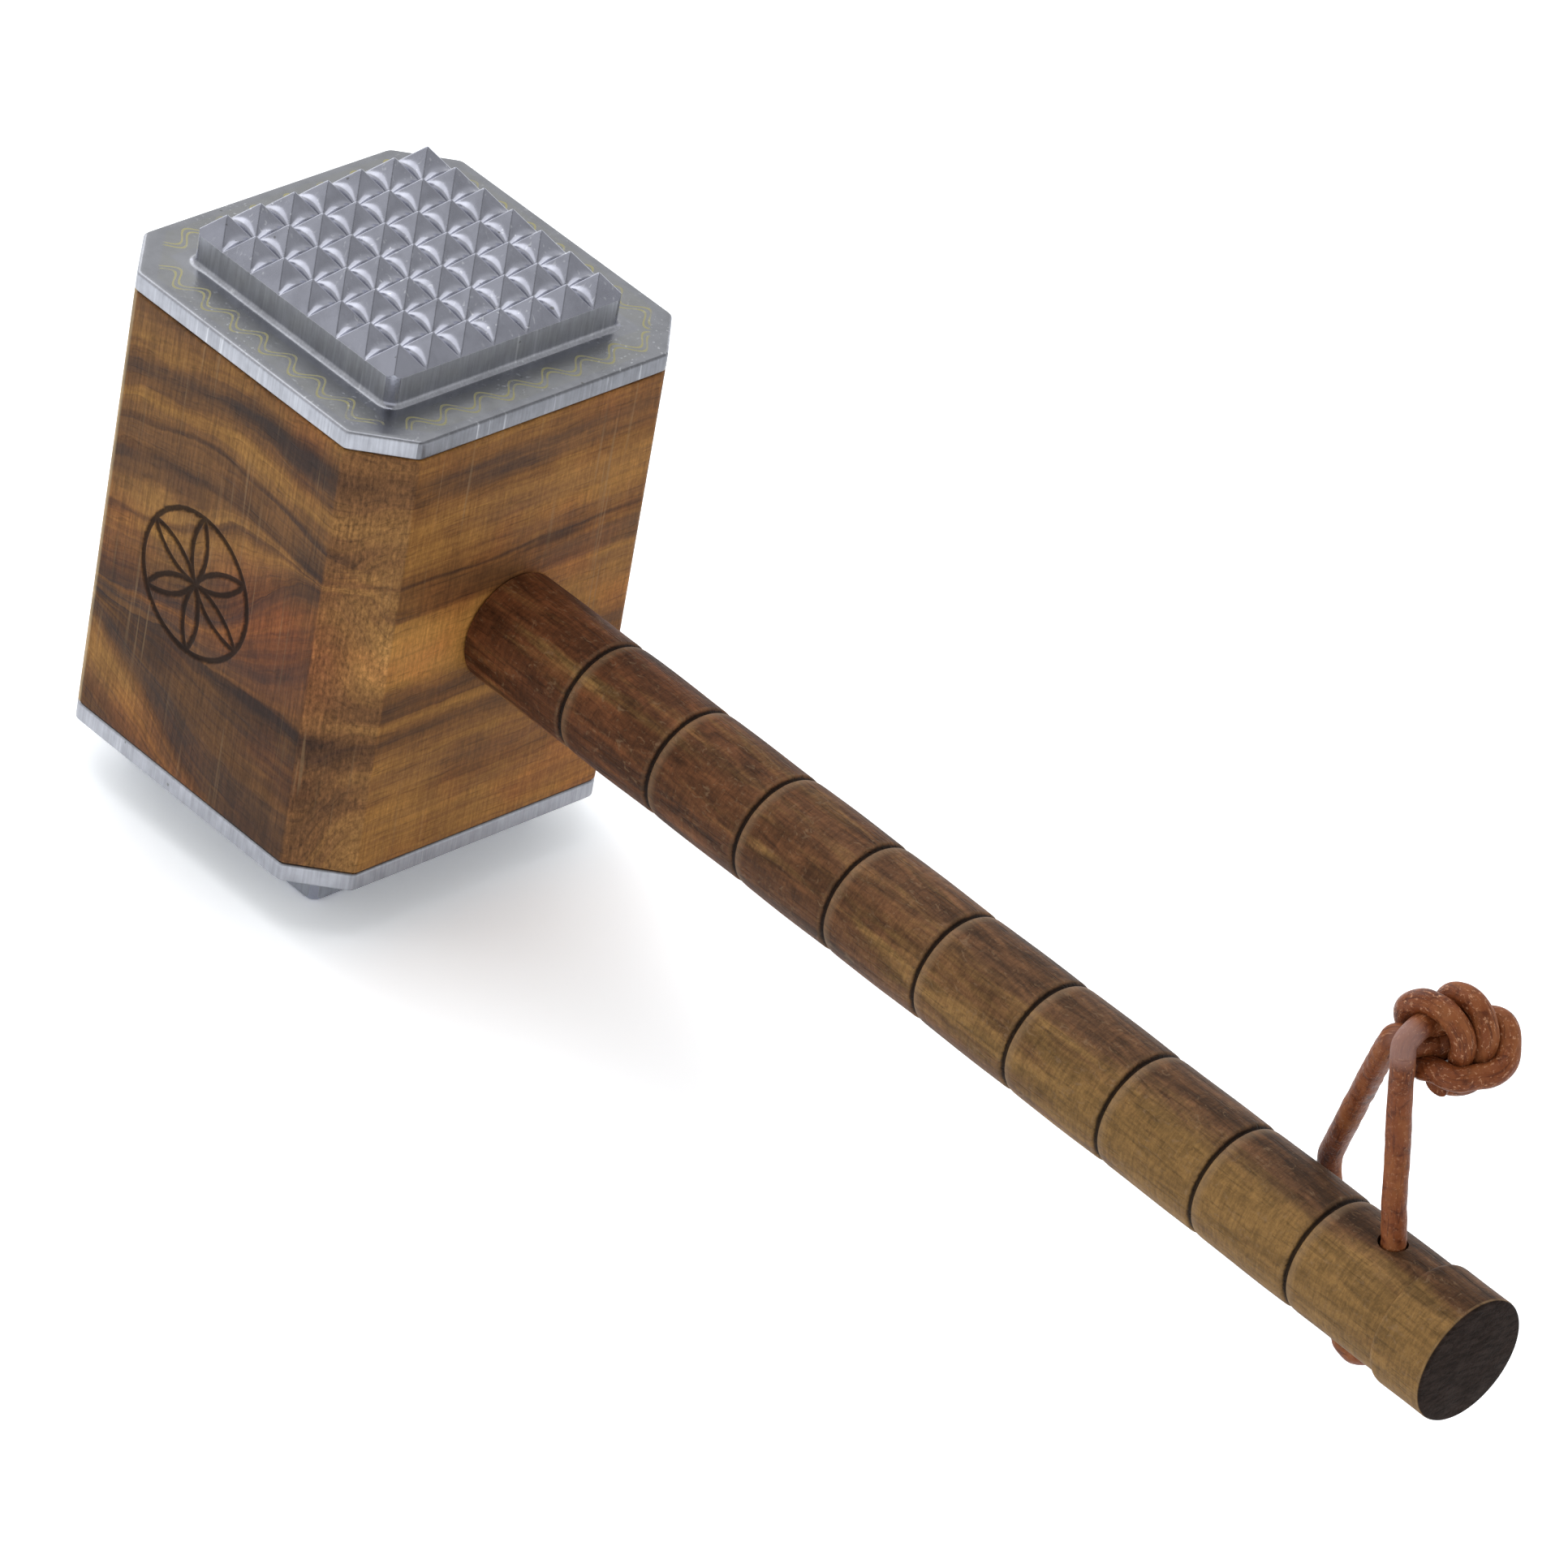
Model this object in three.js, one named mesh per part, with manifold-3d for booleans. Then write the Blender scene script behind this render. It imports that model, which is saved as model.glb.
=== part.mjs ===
// Meat tenderizer: a wooden block head with a toothed and a smooth aluminium striking plate,
// a turned wooden handle and a leather hanging thong. Millimetres, +Z up.
// It stands on its smooth plate. The origin is the middle of the smooth striking face,
// +X runs along the handle and +Z runs up through the head to the toothed plate.
import * as THREE from 'three';
import { mergeVertices } from 'three/addons/utils/BufferGeometryUtils.js';
import Module from 'manifold-3d';

const wasm = await Module();
wasm.setup();

// Head block
const blockWidth = 62;
const blockHeight = 72;
const blockChamfer = 7.7;
const blockEase = 0.4;

// Striking plates
const plateHeight = 11.5;
const flangeThickness = 3.1;
const flangeEase = 0.5;
const padCorner = 2;
const padFlare = 0.9;
const smoothPadWidth = 44.6;
const smoothPadEase = 1.2;
const plateSeam = 0.1;
const cornerSteps = 3;
const flareSteps = 4;

// Teeth: crossing grooves leave a square field of pyramids
const teethPerSide = 7;
const toothPitch = 6.33;
const tipFlat = 0.3;
const grooveHalfAngle = 45;
const valleyRadius = 0.9;
const valleySteps = 5;

// Dowel pins that hold each plate to the block
const pinDiameter = 6;
const pinInPlate = 5.5;
const pinInBlock = 14;
const pinSpacing = 30;
const pinClearance = 0.15;
const pinEase = 0.6;

// Turned handle
const handleDiameter = 17.8;
const handleReach = 197;
const tenonDiameter = 14;
const tenonLength = 40;
const tenonClearance = 0.15;
const tenonEndGap = 1;
const tenonEase = 1;
const shoulderSeam = 0.1;
const shoulderEase = 0.3;
const grooveCount = 9;
const grooveFromBlock = 20.9;
const groovePitch = 18.65;
const grooveDepth = 0.7;
const grooveWidth = 0.9;
const grooveShoulder = 1.1;
const pommelDiameter = 19.2;
const pommelLength = 9.8;
const pommelRound = 1.2;
const pommelEase = 0.6;
const handleSides = 48;

// Leather thong through the cross hole
const thongDiameter = 3.5;
const thongSides = 8;
const thongHoleClearance = 0.4;
const thongHoleFromEnd = 17;

// Heights and places that follow from the sizes above
const seatBelow = plateHeight + plateSeam;
const blockMiddle = seatBelow + blockHeight / 2;
const blockTop = seatBelow + blockHeight;
const toothedPlateSeat = blockTop + plateSeam;
const grooveDrop = (toothPitch - tipFlat) / 2 / Math.tan(THREE.MathUtils.degToRad(grooveHalfAngle));
const valleyRise = valleyRadius * (1 / Math.sin(THREE.MathUtils.degToRad(grooveHalfAngle)) - 1);
const toothHeight = grooveDrop - valleyRise;
const toothFieldWidth = teethPerSide * toothPitch;
const handleRadius = handleDiameter / 2;
const handleStart = blockWidth / 2 + shoulderSeam;
const handleEnd = blockWidth / 2 + handleReach;
const thongHole = new THREE.Vector3(handleEnd - thongHoleFromEnd, 0, blockMiddle);
const overlap = 0.5;
const grooveOverrun = 4;

// Materials
const wood = new THREE.MeshStandardMaterial({ color: 0x8a5c33, roughness: 0.6, metalness: 0 });
const turnedWood = new THREE.MeshStandardMaterial({ color: 0x6e4a2f, roughness: 0.55, metalness: 0 });
const aluminium = new THREE.MeshStandardMaterial({ color: 0x9b9ca3, roughness: 0.42, metalness: 1 });
const pinWood = new THREE.MeshStandardMaterial({ color: 0xb98d5c, roughness: 0.7, metalness: 0 });
const leather = new THREE.MeshStandardMaterial({ color: 0x7d4a30, roughness: 0.75, metalness: 0 });

// A closed geometry becomes a solid that can be joined and cut.
function solid(geometry) {
  const bare = geometry.clone();
  bare.deleteAttribute('normal');
  bare.deleteAttribute('uv');
  const merged = mergeVertices(bare, 1e-5);
  const vertProperties = new Float32Array(merged.attributes.position.array);
  const triVerts = new Uint32Array(merged.index.array);
  return new wasm.Manifold(new wasm.Mesh({ numProp: 3, vertProperties, triVerts }));
}

// A solid becomes a geometry again.
function geometryOf(body) {
  const mesh = body.getMesh();
  const geometry = new THREE.BufferGeometry();
  geometry.setAttribute('position', new THREE.BufferAttribute(new Float32Array(mesh.vertProperties), 3));
  geometry.setIndex(new THREE.BufferAttribute(new Uint32Array(mesh.triVerts), 1));
  geometry.computeVertexNormals();
  return geometry;
}

function part(name, geometry, material) {
  const mesh = new THREE.Mesh(geometry, material);
  mesh.name = name;
  return mesh;
}

// A square with its four corners cut off, as the block and both flanges have it.
function cutSquare(width, cut) {
  const half = width / 2;
  const near = half - cut;
  const shape = new THREE.Shape();
  shape.moveTo(half, -near);
  shape.lineTo(half, near);
  shape.lineTo(near, half);
  shape.lineTo(-near, half);
  shape.lineTo(-half, near);
  shape.lineTo(-half, -near);
  shape.lineTo(-near, -half);
  shape.lineTo(near, -half);
  shape.closePath();
  return shape;
}

// A square with round corners.
function roundSquare(width, radius) {
  const half = width / 2;
  const near = half - radius;
  const shape = new THREE.Shape();
  shape.absarc(near, near, radius, 0, Math.PI / 2);
  shape.absarc(-near, near, radius, Math.PI / 2, Math.PI);
  shape.absarc(-near, -near, radius, Math.PI, Math.PI * 1.5);
  shape.absarc(near, -near, radius, Math.PI * 1.5, Math.PI * 2);
  shape.closePath();
  return shape;
}

// A prism from z = 0 to z = height, whose edges at both ends are eased inward.
function easedPrism(shape, height, ease, steps) {
  return new THREE.ExtrudeGeometry(shape, {
    depth: height - 2 * ease,
    bevelThickness: ease,
    bevelSize: ease,
    bevelOffset: -ease,
    bevelSegments: steps,
    curveSegments: cornerSteps,
  }).translate(0, 0, ease);
}

// A solid through outlines of as many points each, stacked upward.
function loft(levels) {
  const count = levels[0].outline.length;
  const positions = levels.flatMap(({ outline, height }) => outline.flatMap(({ x, y }) => [x, y, height]));
  const index = [];
  for (let level = 0; level < levels.length - 1; level += 1) {
    for (let here = 0; here < count; here += 1) {
      const next = (here + 1) % count;
      const low = level * count;
      const high = low + count;
      index.push(low + here, low + next, high + next);
      index.push(low + here, high + next, high + here);
    }
  }
  const top = (levels.length - 1) * count;
  for (const [a, b, c] of THREE.ShapeUtils.triangulateShape(levels[0].outline, [])) {
    index.push(c, b, a);
  }
  for (const [a, b, c] of THREE.ShapeUtils.triangulateShape(levels.at(-1).outline, [])) {
    index.push(top + a, top + b, top + c);
  }
  const geometry = new THREE.BufferGeometry();
  geometry.setAttribute('position', new THREE.Float32BufferAttribute(positions, 3));
  geometry.setIndex(index);
  return geometry;
}

// A square pad with round corners that stands on the flange. Its foot flares out in a
// hollow curve, its sides are upright and its rim is eased.
function flaredPad(width, top, ease) {
  const levels = [];
  const addLevel = (grow, height) => {
    const outline = roundSquare(width + 2 * grow, padCorner + grow).getPoints(cornerSteps).slice(0, -1);
    levels.push({ outline, height });
  };
  addLevel(padFlare, flangeThickness - overlap);
  for (let step = 0; step <= flareSteps; step += 1) {
    const turn = (step / flareSteps) * (Math.PI / 2);
    addLevel(padFlare * (1 - Math.sin(turn)), flangeThickness + padFlare * (1 - Math.cos(turn)));
  }
  addLevel(0, top - ease);
  for (let step = 1; ease > 0 && step <= flareSteps; step += 1) {
    const turn = (step / flareSteps) * (Math.PI / 2);
    addLevel(-ease * (1 - Math.cos(turn)), top - ease * (1 - Math.sin(turn)));
  }
  return loft(levels);
}

function cylinderAlongZ(diameter, length, sides) {
  return new THREE.CylinderGeometry(diameter / 2, diameter / 2, length, sides).rotateX(Math.PI / 2);
}

// The section of one run of grooves, above the teeth: flat tips, straight flanks at
// the groove's half angle, and a round valley between each two teeth. The outermost
// valleys lie on the field's edges, so only their inner halves are there.
function grooveSection() {
  const outside = toothFieldWidth / 2 + grooveOverrun;
  const above = toothHeight + grooveOverrun;
  const arcEnd = valleyRadius * Math.cos(THREE.MathUtils.degToRad(grooveHalfAngle));
  const arcHeight = (across) => valleyRadius - Math.sqrt(valleyRadius ** 2 - across ** 2);
  const floor = arcHeight(arcEnd / valleySteps);
  const section = new THREE.Shape();
  section.moveTo(-outside, above);
  section.lineTo(-outside, floor);
  for (let valley = 0; valley <= teethPerSide; valley += 1) {
    const middle = (valley - teethPerSide / 2) * toothPitch;
    if (valley > 0) {
      section.lineTo(middle - (toothPitch - tipFlat) / 2, toothHeight);
    }
    for (let step = 0; step <= valleySteps; step += 1) {
      const across = arcEnd * ((2 * step) / valleySteps - 1);
      if ((valley > 0 || across > 0) && (valley < teethPerSide || across < 0)) {
        section.lineTo(middle + across, arcHeight(across));
      }
    }
    if (valley < teethPerSide) {
      section.lineTo(middle + (toothPitch - tipFlat) / 2, toothHeight);
    }
  }
  section.lineTo(outside, floor);
  section.lineTo(outside, above);
  section.closePath();
  return section;
}

// One run of grooves along Y, its valleys at z = 0.
function grooveRun() {
  const length = toothFieldWidth + 2 * grooveOverrun;
  return new THREE.ExtrudeGeometry(grooveSection(), { depth: length, bevelEnabled: false })
    .translate(0, 0, -length / 2)
    .rotateX(Math.PI / 2);
}

// Where the pins stand: one each side of the handle's tenon.
const pinPlaces = [-pinSpacing / 2, pinSpacing / 2];

// Blind holes for the pins, from z = 0 down to the given depth.
function pinHoles(depth) {
  const hole = cylinderAlongZ(pinDiameter + 2 * pinClearance, depth + overlap, 32);
  return pinPlaces.map((place) => solid(hole.clone().translate(0, place, (overlap - depth) / 2)));
}

function cutAll(body, cutters) {
  return cutters.reduce((left, cutter) => left.subtract(cutter), body);
}

// Wooden block: chamfered upright edges, a blind round socket for the handle's tenon
// and two blind pin holes in each end. Built with its lower end at z = 0.
function headBlock() {
  const block = solid(easedPrism(cutSquare(blockWidth, blockChamfer), blockHeight, blockEase, 2));
  const socketDepth = tenonLength + tenonEndGap;
  const socket = cylinderAlongZ(tenonDiameter + 2 * tenonClearance, socketDepth + overlap, 48)
    .rotateY(Math.PI / 2)
    .translate(blockWidth / 2 + (overlap - socketDepth) / 2, 0, blockHeight / 2);
  const upper = pinHoles(pinInBlock).map((hole) => hole.translate([0, 0, blockHeight]));
  const lower = pinHoles(pinInBlock).map((hole) => hole.mirror([0, 0, 1]));
  return geometryOf(cutAll(block, [solid(socket), ...upper, ...lower]));
}

// Plate with its flange's back at z = 0 and its pad standing up from the flange.
function plate(pad) {
  const flange = solid(easedPrism(cutSquare(blockWidth, blockChamfer), flangeThickness, flangeEase, 3));
  const backHoles = pinHoles(pinInPlate).map((hole) => hole.mirror([0, 0, 1]));
  return cutAll(flange.add(pad), backHoles);
}

// Toothed plate: the raised pad ends in square pyramids, the outer ones whole.
function toothedPlate() {
  const root = plateHeight - toothHeight;
  const alongY = solid(grooveRun().translate(0, 0, root));
  const alongX = solid(grooveRun().rotateZ(Math.PI / 2).translate(0, 0, root));
  const pad = cutAll(solid(flaredPad(toothFieldWidth, plateHeight, 0)), [alongY, alongX]);
  return geometryOf(plate(pad));
}

// Smooth plate: the same flange and a plain pad with an eased rim, turned face down.
function smoothPlate() {
  const pad = solid(flaredPad(smoothPadWidth, plateHeight, smoothPadEase));
  return geometryOf(plate(pad)).rotateX(Math.PI);
}

function pin() {
  const length = pinInPlate + pinInBlock - 2 * pinClearance;
  const radius = pinDiameter / 2;
  const profile = [
    new THREE.Vector2(0, -length / 2),
    new THREE.Vector2(radius - pinEase, -length / 2),
    new THREE.Vector2(radius, -length / 2 + pinEase),
    new THREE.Vector2(radius, length / 2 - pinEase),
    new THREE.Vector2(radius - pinEase, length / 2),
    new THREE.Vector2(0, length / 2),
  ];
  return new THREE.LatheGeometry(profile, 24).rotateX(Math.PI / 2);
}

// The handle's outline, as radius against distance along X: tenon, shoulder,
// sections parted by narrow grooves, and the pommel.
function handleOutline() {
  const outline = [
    [handleStart - tenonLength, 0],
    [handleStart - tenonLength, tenonDiameter / 2 - tenonEase],
    [handleStart - tenonLength + tenonEase, tenonDiameter / 2],
    [handleStart, tenonDiameter / 2],
    [handleStart, handleRadius - shoulderEase],
    [handleStart + shoulderEase, handleRadius],
  ];
  for (let groove = 0; groove < grooveCount; groove += 1) {
    const middle = blockWidth / 2 + grooveFromBlock + groove * groovePitch;
    outline.push([middle - grooveWidth / 2, handleRadius]);
    outline.push([middle - grooveWidth / 6, handleRadius - grooveDepth]);
    outline.push([middle + grooveWidth / 6, handleRadius - grooveDepth]);
    outline.push([middle + grooveWidth / 2, handleRadius - grooveDepth / 3]);
    outline.push([middle + grooveWidth / 2 + grooveShoulder, handleRadius]);
  }
  const pommelStart = handleEnd - pommelLength;
  const pommelRadius = pommelDiameter / 2;
  outline.push([pommelStart, handleRadius]);
  for (let step = 1; step <= 4; step += 1) {
    const turn = (step / 4) * (Math.PI / 2);
    const along = pommelStart + pommelRound * (1 - Math.cos(turn));
    outline.push([along, handleRadius + (pommelRadius - handleRadius) * Math.sin(turn)]);
  }
  outline.push([handleEnd - pommelEase, pommelRadius]);
  outline.push([handleEnd, pommelRadius - pommelEase]);
  outline.push([handleEnd, 0]);
  return outline;
}

// Handle, turned about X, with the cross hole for the thong.
function handle() {
  const profile = handleOutline().map(([along, radius]) => new THREE.Vector2(radius, along));
  const turned = solid(new THREE.LatheGeometry(profile, handleSides).rotateZ(-Math.PI / 2));
  const drill = cylinderAlongZ(thongDiameter + 2 * thongHoleClearance, pommelDiameter * 2, 24);
  const crossHole = solid(drill.translate(thongHole.x, 0, 0));
  return geometryOf(turned.subtract(crossHole));
}

// The thong's two legs, as places along their middle line measured from the middle of
// the cross hole. One leg rises from the hole, the other comes out below, goes round
// the far side of the handle toward the head and rises to meet it.
const frontLeg = [
  [0, 0, 0.3],
  [0, 0, 5],
  [0, 0, 9.2],
  [-0.4, -0.2, 11.6],
  [-1.1, -0.4, 15.3],
  [-1.7, -0.6, 19.8],
  [-2.4, -0.8, 24.4],
  [-3.2, -1, 28.9],
  [-4, -1, 33.3],
  [-4.5, -1, 36.6],
];
const backLeg = [
  [0, 0, -0.3],
  [0, 0, -5],
  [0, 0, -8.4],
  [-0.7, 0, -10.6],
  [-2.4, 0.1, -11.5],
  [-4.6, 0.6, -11.5],
  [-7.4, 3.1, -10.9],
  [-10.7, 6.7, -9],
  [-14.3, 9.5, -5.9],
  [-18, 11, -1.9],
  [-20.9, 11.4, 1.4],
  [-22, 11.3, 4],
  [-21.2, 10.7, 8],
  [-18.6, 8.9, 14.9],
  [-15.2, 6.3, 23.1],
  [-11.3, 3.1, 31.7],
  [-9, 1.3, 36.3],
];

// The knot is laid out in its own directions: along it, up across it, and out from its
// front. It is a double overhand knot drawn up tight: both legs run into its core, and
// one strand turns back over the core in two wraps and ends in a cut tail.
const knotMiddle = new THREE.Vector3(-2.8, 6.9, 38.7);
const knotAlong = new THREE.Vector3(0.67, 0.73, 0.15).normalize();
const knotFront = new THREE.Vector3(0.55, -0.61, 0.57).cross(knotAlong).cross(knotAlong).negate().normalize();
const knotUp = new THREE.Vector3().crossVectors(knotFront, knotAlong);
const wrapStrand = [
  [-7.2, -2.4, 3.1],
  [-7.1, -1.1, 3.6],
  [-6.8, 0.4, 3.4],
  [-6, 1.6, 2.4],
  [-4.5, 2, 1.2],
  [-2.7, 1.8, 0.4],
  [-0.8, 1.4, 0],
  [2, 1.3, -0.8],
  [4.3, 2.5, -1],
  [6.1, 2.5, -0.3],
  [7, 0.5, 0.6],
  [6.2, -2.5, 1.5],
  [4.3, -4.4, 2.2],
  [1.7, -5.2, 2.5],
  [-0.9, -4.8, 2],
  [-3.5, -3.7, 0.2],
  [-4.6, -2.4, -2.6],
  [-5, -0.2, -4.5],
  [-6.2, 2.3, -3.7],
  [-6.6, 3.8, -1.8],
  [-5.7, 4.7, 0.3],
  [-3.5, 4.7, 2.5],
  [-1.2, 3.2, 3.8],
  [0.4, 0.8, 4.1],
  [1, -1.4, 3],
  [0.9, -2.9, 0.5],
  [0.2, -2.8, -2.6],
  [-0.8, -0.6, -4.2],
  [-1.5, 2.6, -3.6],
  [-1.3, 5, -1.6],
  [0.2, 5.8, 0.8],
  [2, 5, 2.3],
  [3.4, 2.9, 2.9],
  [4, 0.5, 2.8],
  [3.8, -1.6, 1.4],
  [2.6, -3.2, -0.9],
  [0.5, -4.4, -2.6],
  [-1.5, -5, -2.2],
  [-2.6, -6.5, -1.4],
];
const coreStrand = [
  [-8.46, -0.18, -0.65],
  [-8.2, 0.2, 0.4],
  [-7.2, 0.5, 1],
  [-5.6, 0, 0.6],
  [-3.8, -1, -0.3],
  [-1.4, -1.4, -0.9],
  [1, -1, -1.2],
  [2.8, -0.3, -1.4],
];

function curveFrom(points) {
  const curve = new THREE.CatmullRomCurve3(points, false, 'centripetal');
  curve.arcLengthDivisions = 400;
  return curve;
}

// A leather strand of round section along a smooth curve.
function strand(curve, stepLength) {
  const section = new THREE.Shape();
  for (let side = 0; side < thongSides; side += 1) {
    const turn = ((side + 0.5) / thongSides) * 2 * Math.PI;
    const x = (thongDiameter / 2) * Math.cos(turn);
    const y = (thongDiameter / 2) * Math.sin(turn);
    if (side === 0) {
      section.moveTo(x, y);
    } else {
      section.lineTo(x, y);
    }
  }
  section.closePath();
  const steps = Math.round(curve.getLength() / stepLength);
  return new THREE.ExtrudeGeometry(section, { steps, extrudePath: curve, bevelEnabled: false });
}

function legCurve(places) {
  return curveFrom(places.map((place) => new THREE.Vector3(...place).add(thongHole)));
}

function knotCurve(places) {
  return curveFrom(places.map(([along, up, front]) => thongHole.clone()
    .add(knotMiddle)
    .addScaledVector(knotAlong, along)
    .addScaledVector(knotUp, up)
    .addScaledVector(knotFront, front)));
}

// The knot's strands press into each other and make one body.
function knot() {
  const wraps = solid(strand(knotCurve(wrapStrand), 1.6));
  const core = solid(strand(knotCurve(coreStrand), 1.6));
  return geometryOf(wraps.add(core));
}

const tenderizer = new THREE.Group();

const block = part('head_block', headBlock(), wood);
block.position.z = seatBelow;
tenderizer.add(block);

const toothed = part('toothed_plate', toothedPlate(), aluminium);
toothed.position.z = toothedPlateSeat;
tenderizer.add(toothed);

const smooth = part('smooth_plate', smoothPlate(), aluminium);
smooth.position.z = plateHeight;
tenderizer.add(smooth);

const pinShift = (pinInBlock - pinInPlate) / 2;
pinPlaces.forEach((place, index) => {
  const upper = part(`toothed_plate_pin_${index + 1}`, pin(), pinWood);
  upper.position.set(0, place, blockTop + plateSeam / 2 - pinShift);
  const lower = part(`smooth_plate_pin_${index + 1}`, pin(), pinWood);
  lower.position.set(0, place, plateHeight + plateSeam / 2 + pinShift);
  tenderizer.add(upper, lower);
});

const grip = part('handle', handle(), turnedWood);
grip.position.z = blockMiddle;
tenderizer.add(grip);

tenderizer.add(part('thong_front_leg', strand(legCurve(frontLeg), 3), leather));
tenderizer.add(part('thong_back_leg', strand(legCurve(backLeg), 3), leather));
tenderizer.add(part('thong_knot', knot(), leather));

export default tenderizer;
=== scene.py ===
import math
from functools import partialmethod

import bpy
import numpy as np
from bpy.props import FloatProperty, FloatVectorProperty, PointerProperty
from mathutils import Matrix, Quaternion, Vector


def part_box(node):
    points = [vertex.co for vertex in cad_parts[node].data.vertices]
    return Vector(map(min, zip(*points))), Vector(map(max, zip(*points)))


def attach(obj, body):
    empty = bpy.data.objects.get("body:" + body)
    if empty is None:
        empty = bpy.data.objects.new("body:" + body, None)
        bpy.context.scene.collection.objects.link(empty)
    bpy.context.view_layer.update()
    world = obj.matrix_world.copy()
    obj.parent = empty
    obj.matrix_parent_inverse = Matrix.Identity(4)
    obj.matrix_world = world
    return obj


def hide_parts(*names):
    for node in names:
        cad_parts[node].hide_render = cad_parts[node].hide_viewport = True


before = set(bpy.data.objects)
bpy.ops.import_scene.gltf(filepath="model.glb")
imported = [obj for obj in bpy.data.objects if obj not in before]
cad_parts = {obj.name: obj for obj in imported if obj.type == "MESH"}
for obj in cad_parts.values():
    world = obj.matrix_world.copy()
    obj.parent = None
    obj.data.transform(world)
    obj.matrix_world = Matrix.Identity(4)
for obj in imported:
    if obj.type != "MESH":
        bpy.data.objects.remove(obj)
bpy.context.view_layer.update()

bl_info = {
    "name": "Block mallet",
    "version": (1, 0, 0),
    "blender": (4, 5, 0),
    "location": "View3D > Sidebar > Mallet",
    "description": "Dresses a wooden block mallet with striking plates, a turned handle and a leather thong",
    "category": "Mesh",
}

MM = 0.001
BODY = "root"

# Sizes and places that come from the frame, in metres
block_low, block_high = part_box("head_block")
toothed_low, toothed_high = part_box("toothed_plate")
smooth_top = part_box("smooth_plate")[1].z
handle_low, handle_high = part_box("handle")
block_half = block_high.x
axis_height = (handle_low.z + handle_high.z) / 2
handle_end = handle_high.x

# Head block and plates: sizes in metres, and counts
block_chamfer = 7.7 * MM
block_ease = 0.4 * MM
block_columns = 150
rows_below_rosette = 14
rows_above_rosette = 18
flange_thickness = 3.1 * MM
flange_ease = 0.5 * MM
flange_flat = 1.2 * MM
pad_corner = 2 * MM
sharpest_corner = 0.2 * MM
pad_flare = 0.9 * MM
smooth_pad_half = 22.3 * MM
smooth_pad_ease = 1.2 * MM
smooth_pad_cells = 96
pin_hole_radius = 3.15 * MM
pin_hole_spacing = 30 * MM
pin_hole_in_block = 14 * MM
pin_hole_in_plate = 5.5 * MM
socket_radius = 7.15 * MM
socket_depth = 41 * MM
cutter_overlap = 0.5 * MM
wave_pitch = 6.4 * MM
wave_height = 1.3 * MM
wave_middles = (26.3 * MM, 27.4 * MM)

# Teeth: their height is taken from the valleys' middles, and the crossings of the valleys lie deeper
teeth_per_side = 7
tooth_pitch = 6.33 * MM
tooth_height = 2.64 * MM
valley_fullness = 0.9
tip_flat = 0.12 * MM
flank_steepness = tooth_height / (tooth_pitch / 2 * (1 - valley_fullness / math.pi))
tooth_depth = flank_steepness * tooth_pitch / 2 - tip_flat
ridge_softness = 0.36 * MM
cells_per_tooth = 30
field_half = teeth_per_side * tooth_pitch / 2

# Turned handle
tenon_radius = 7 * MM
tenon_ease = 1 * MM
shoulder_gap = 0.1 * MM
groove_count = 9
groove_from_block = 20.9 * MM
groove_pitch = 18.65 * MM
groove_places = [block_half + groove_from_block + groove * groove_pitch for groove in range(groove_count)]
groove_depth = 0.7 * MM
groove_width = 0.9 * MM
groove_spread = 0.42 * groove_width
groove_shoulder = 0.66 * MM
groove_shoulder_depth = 0.36 * groove_depth
turning_swell = 0.035 * MM
turning_waves = ((7.3 * MM, 0), (3.1 * MM, 1.3))
pommel_length = 9.8 * MM
pommel_radius = 9.6 * MM
stick_under_pommel = 0.7 * MM
pommel_round = 1.2 * MM
pommel_ease = 0.6 * MM
handle_rings = 420
handle_sides = 128

# Thong: its route is measured from the middle of the cross hole, in millimetres
thong_hole = np.array([handle_end - 17 * MM, 0, axis_height])
thong_hole_radius = 2.15 * MM
lace_sides = 28
lace_waves = 9
lace_unevenness = 0.011
route_step = 0.3 * MM
front_leg = [
    (0, 0, 0.3), (0, 0, 5), (0, 0, 9.2), (-0.4, -0.2, 11.6), (-1.1, -0.4, 15.3),
    (-1.7, -0.6, 19.8), (-2.4, -0.8, 24.4), (-3.2, -1, 28.9), (-4, -1, 33.3), (-4.5, -1, 36.6),
]
back_leg = [
    (0, 0, -0.3), (0, 0, -5), (0, 0, -8.4), (-0.7, 0, -10.6), (-2.4, 0.1, -11.5), (-4.6, 0.6, -11.5),
    (-8, 3.4, -10.9), (-12.2, 7.3, -9), (-16.8, 10.4, -6.2), (-20.4, 11.9, -3), (-22.5, 12.2, 0.4),
    (-22.7, 11.8, 3.6), (-21.3, 10.8, 7.9), (-18.6, 8.9, 14.9), (-15.2, 6.3, 23.1), (-11.3, 3.1, 31.7),
    (-9, 1.3, 36.3),
]

# Middle of the painted highlight where the front leg bends, from the hole's middle
bend_highlight = (-4.8, -1.6, 39.9)

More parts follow.
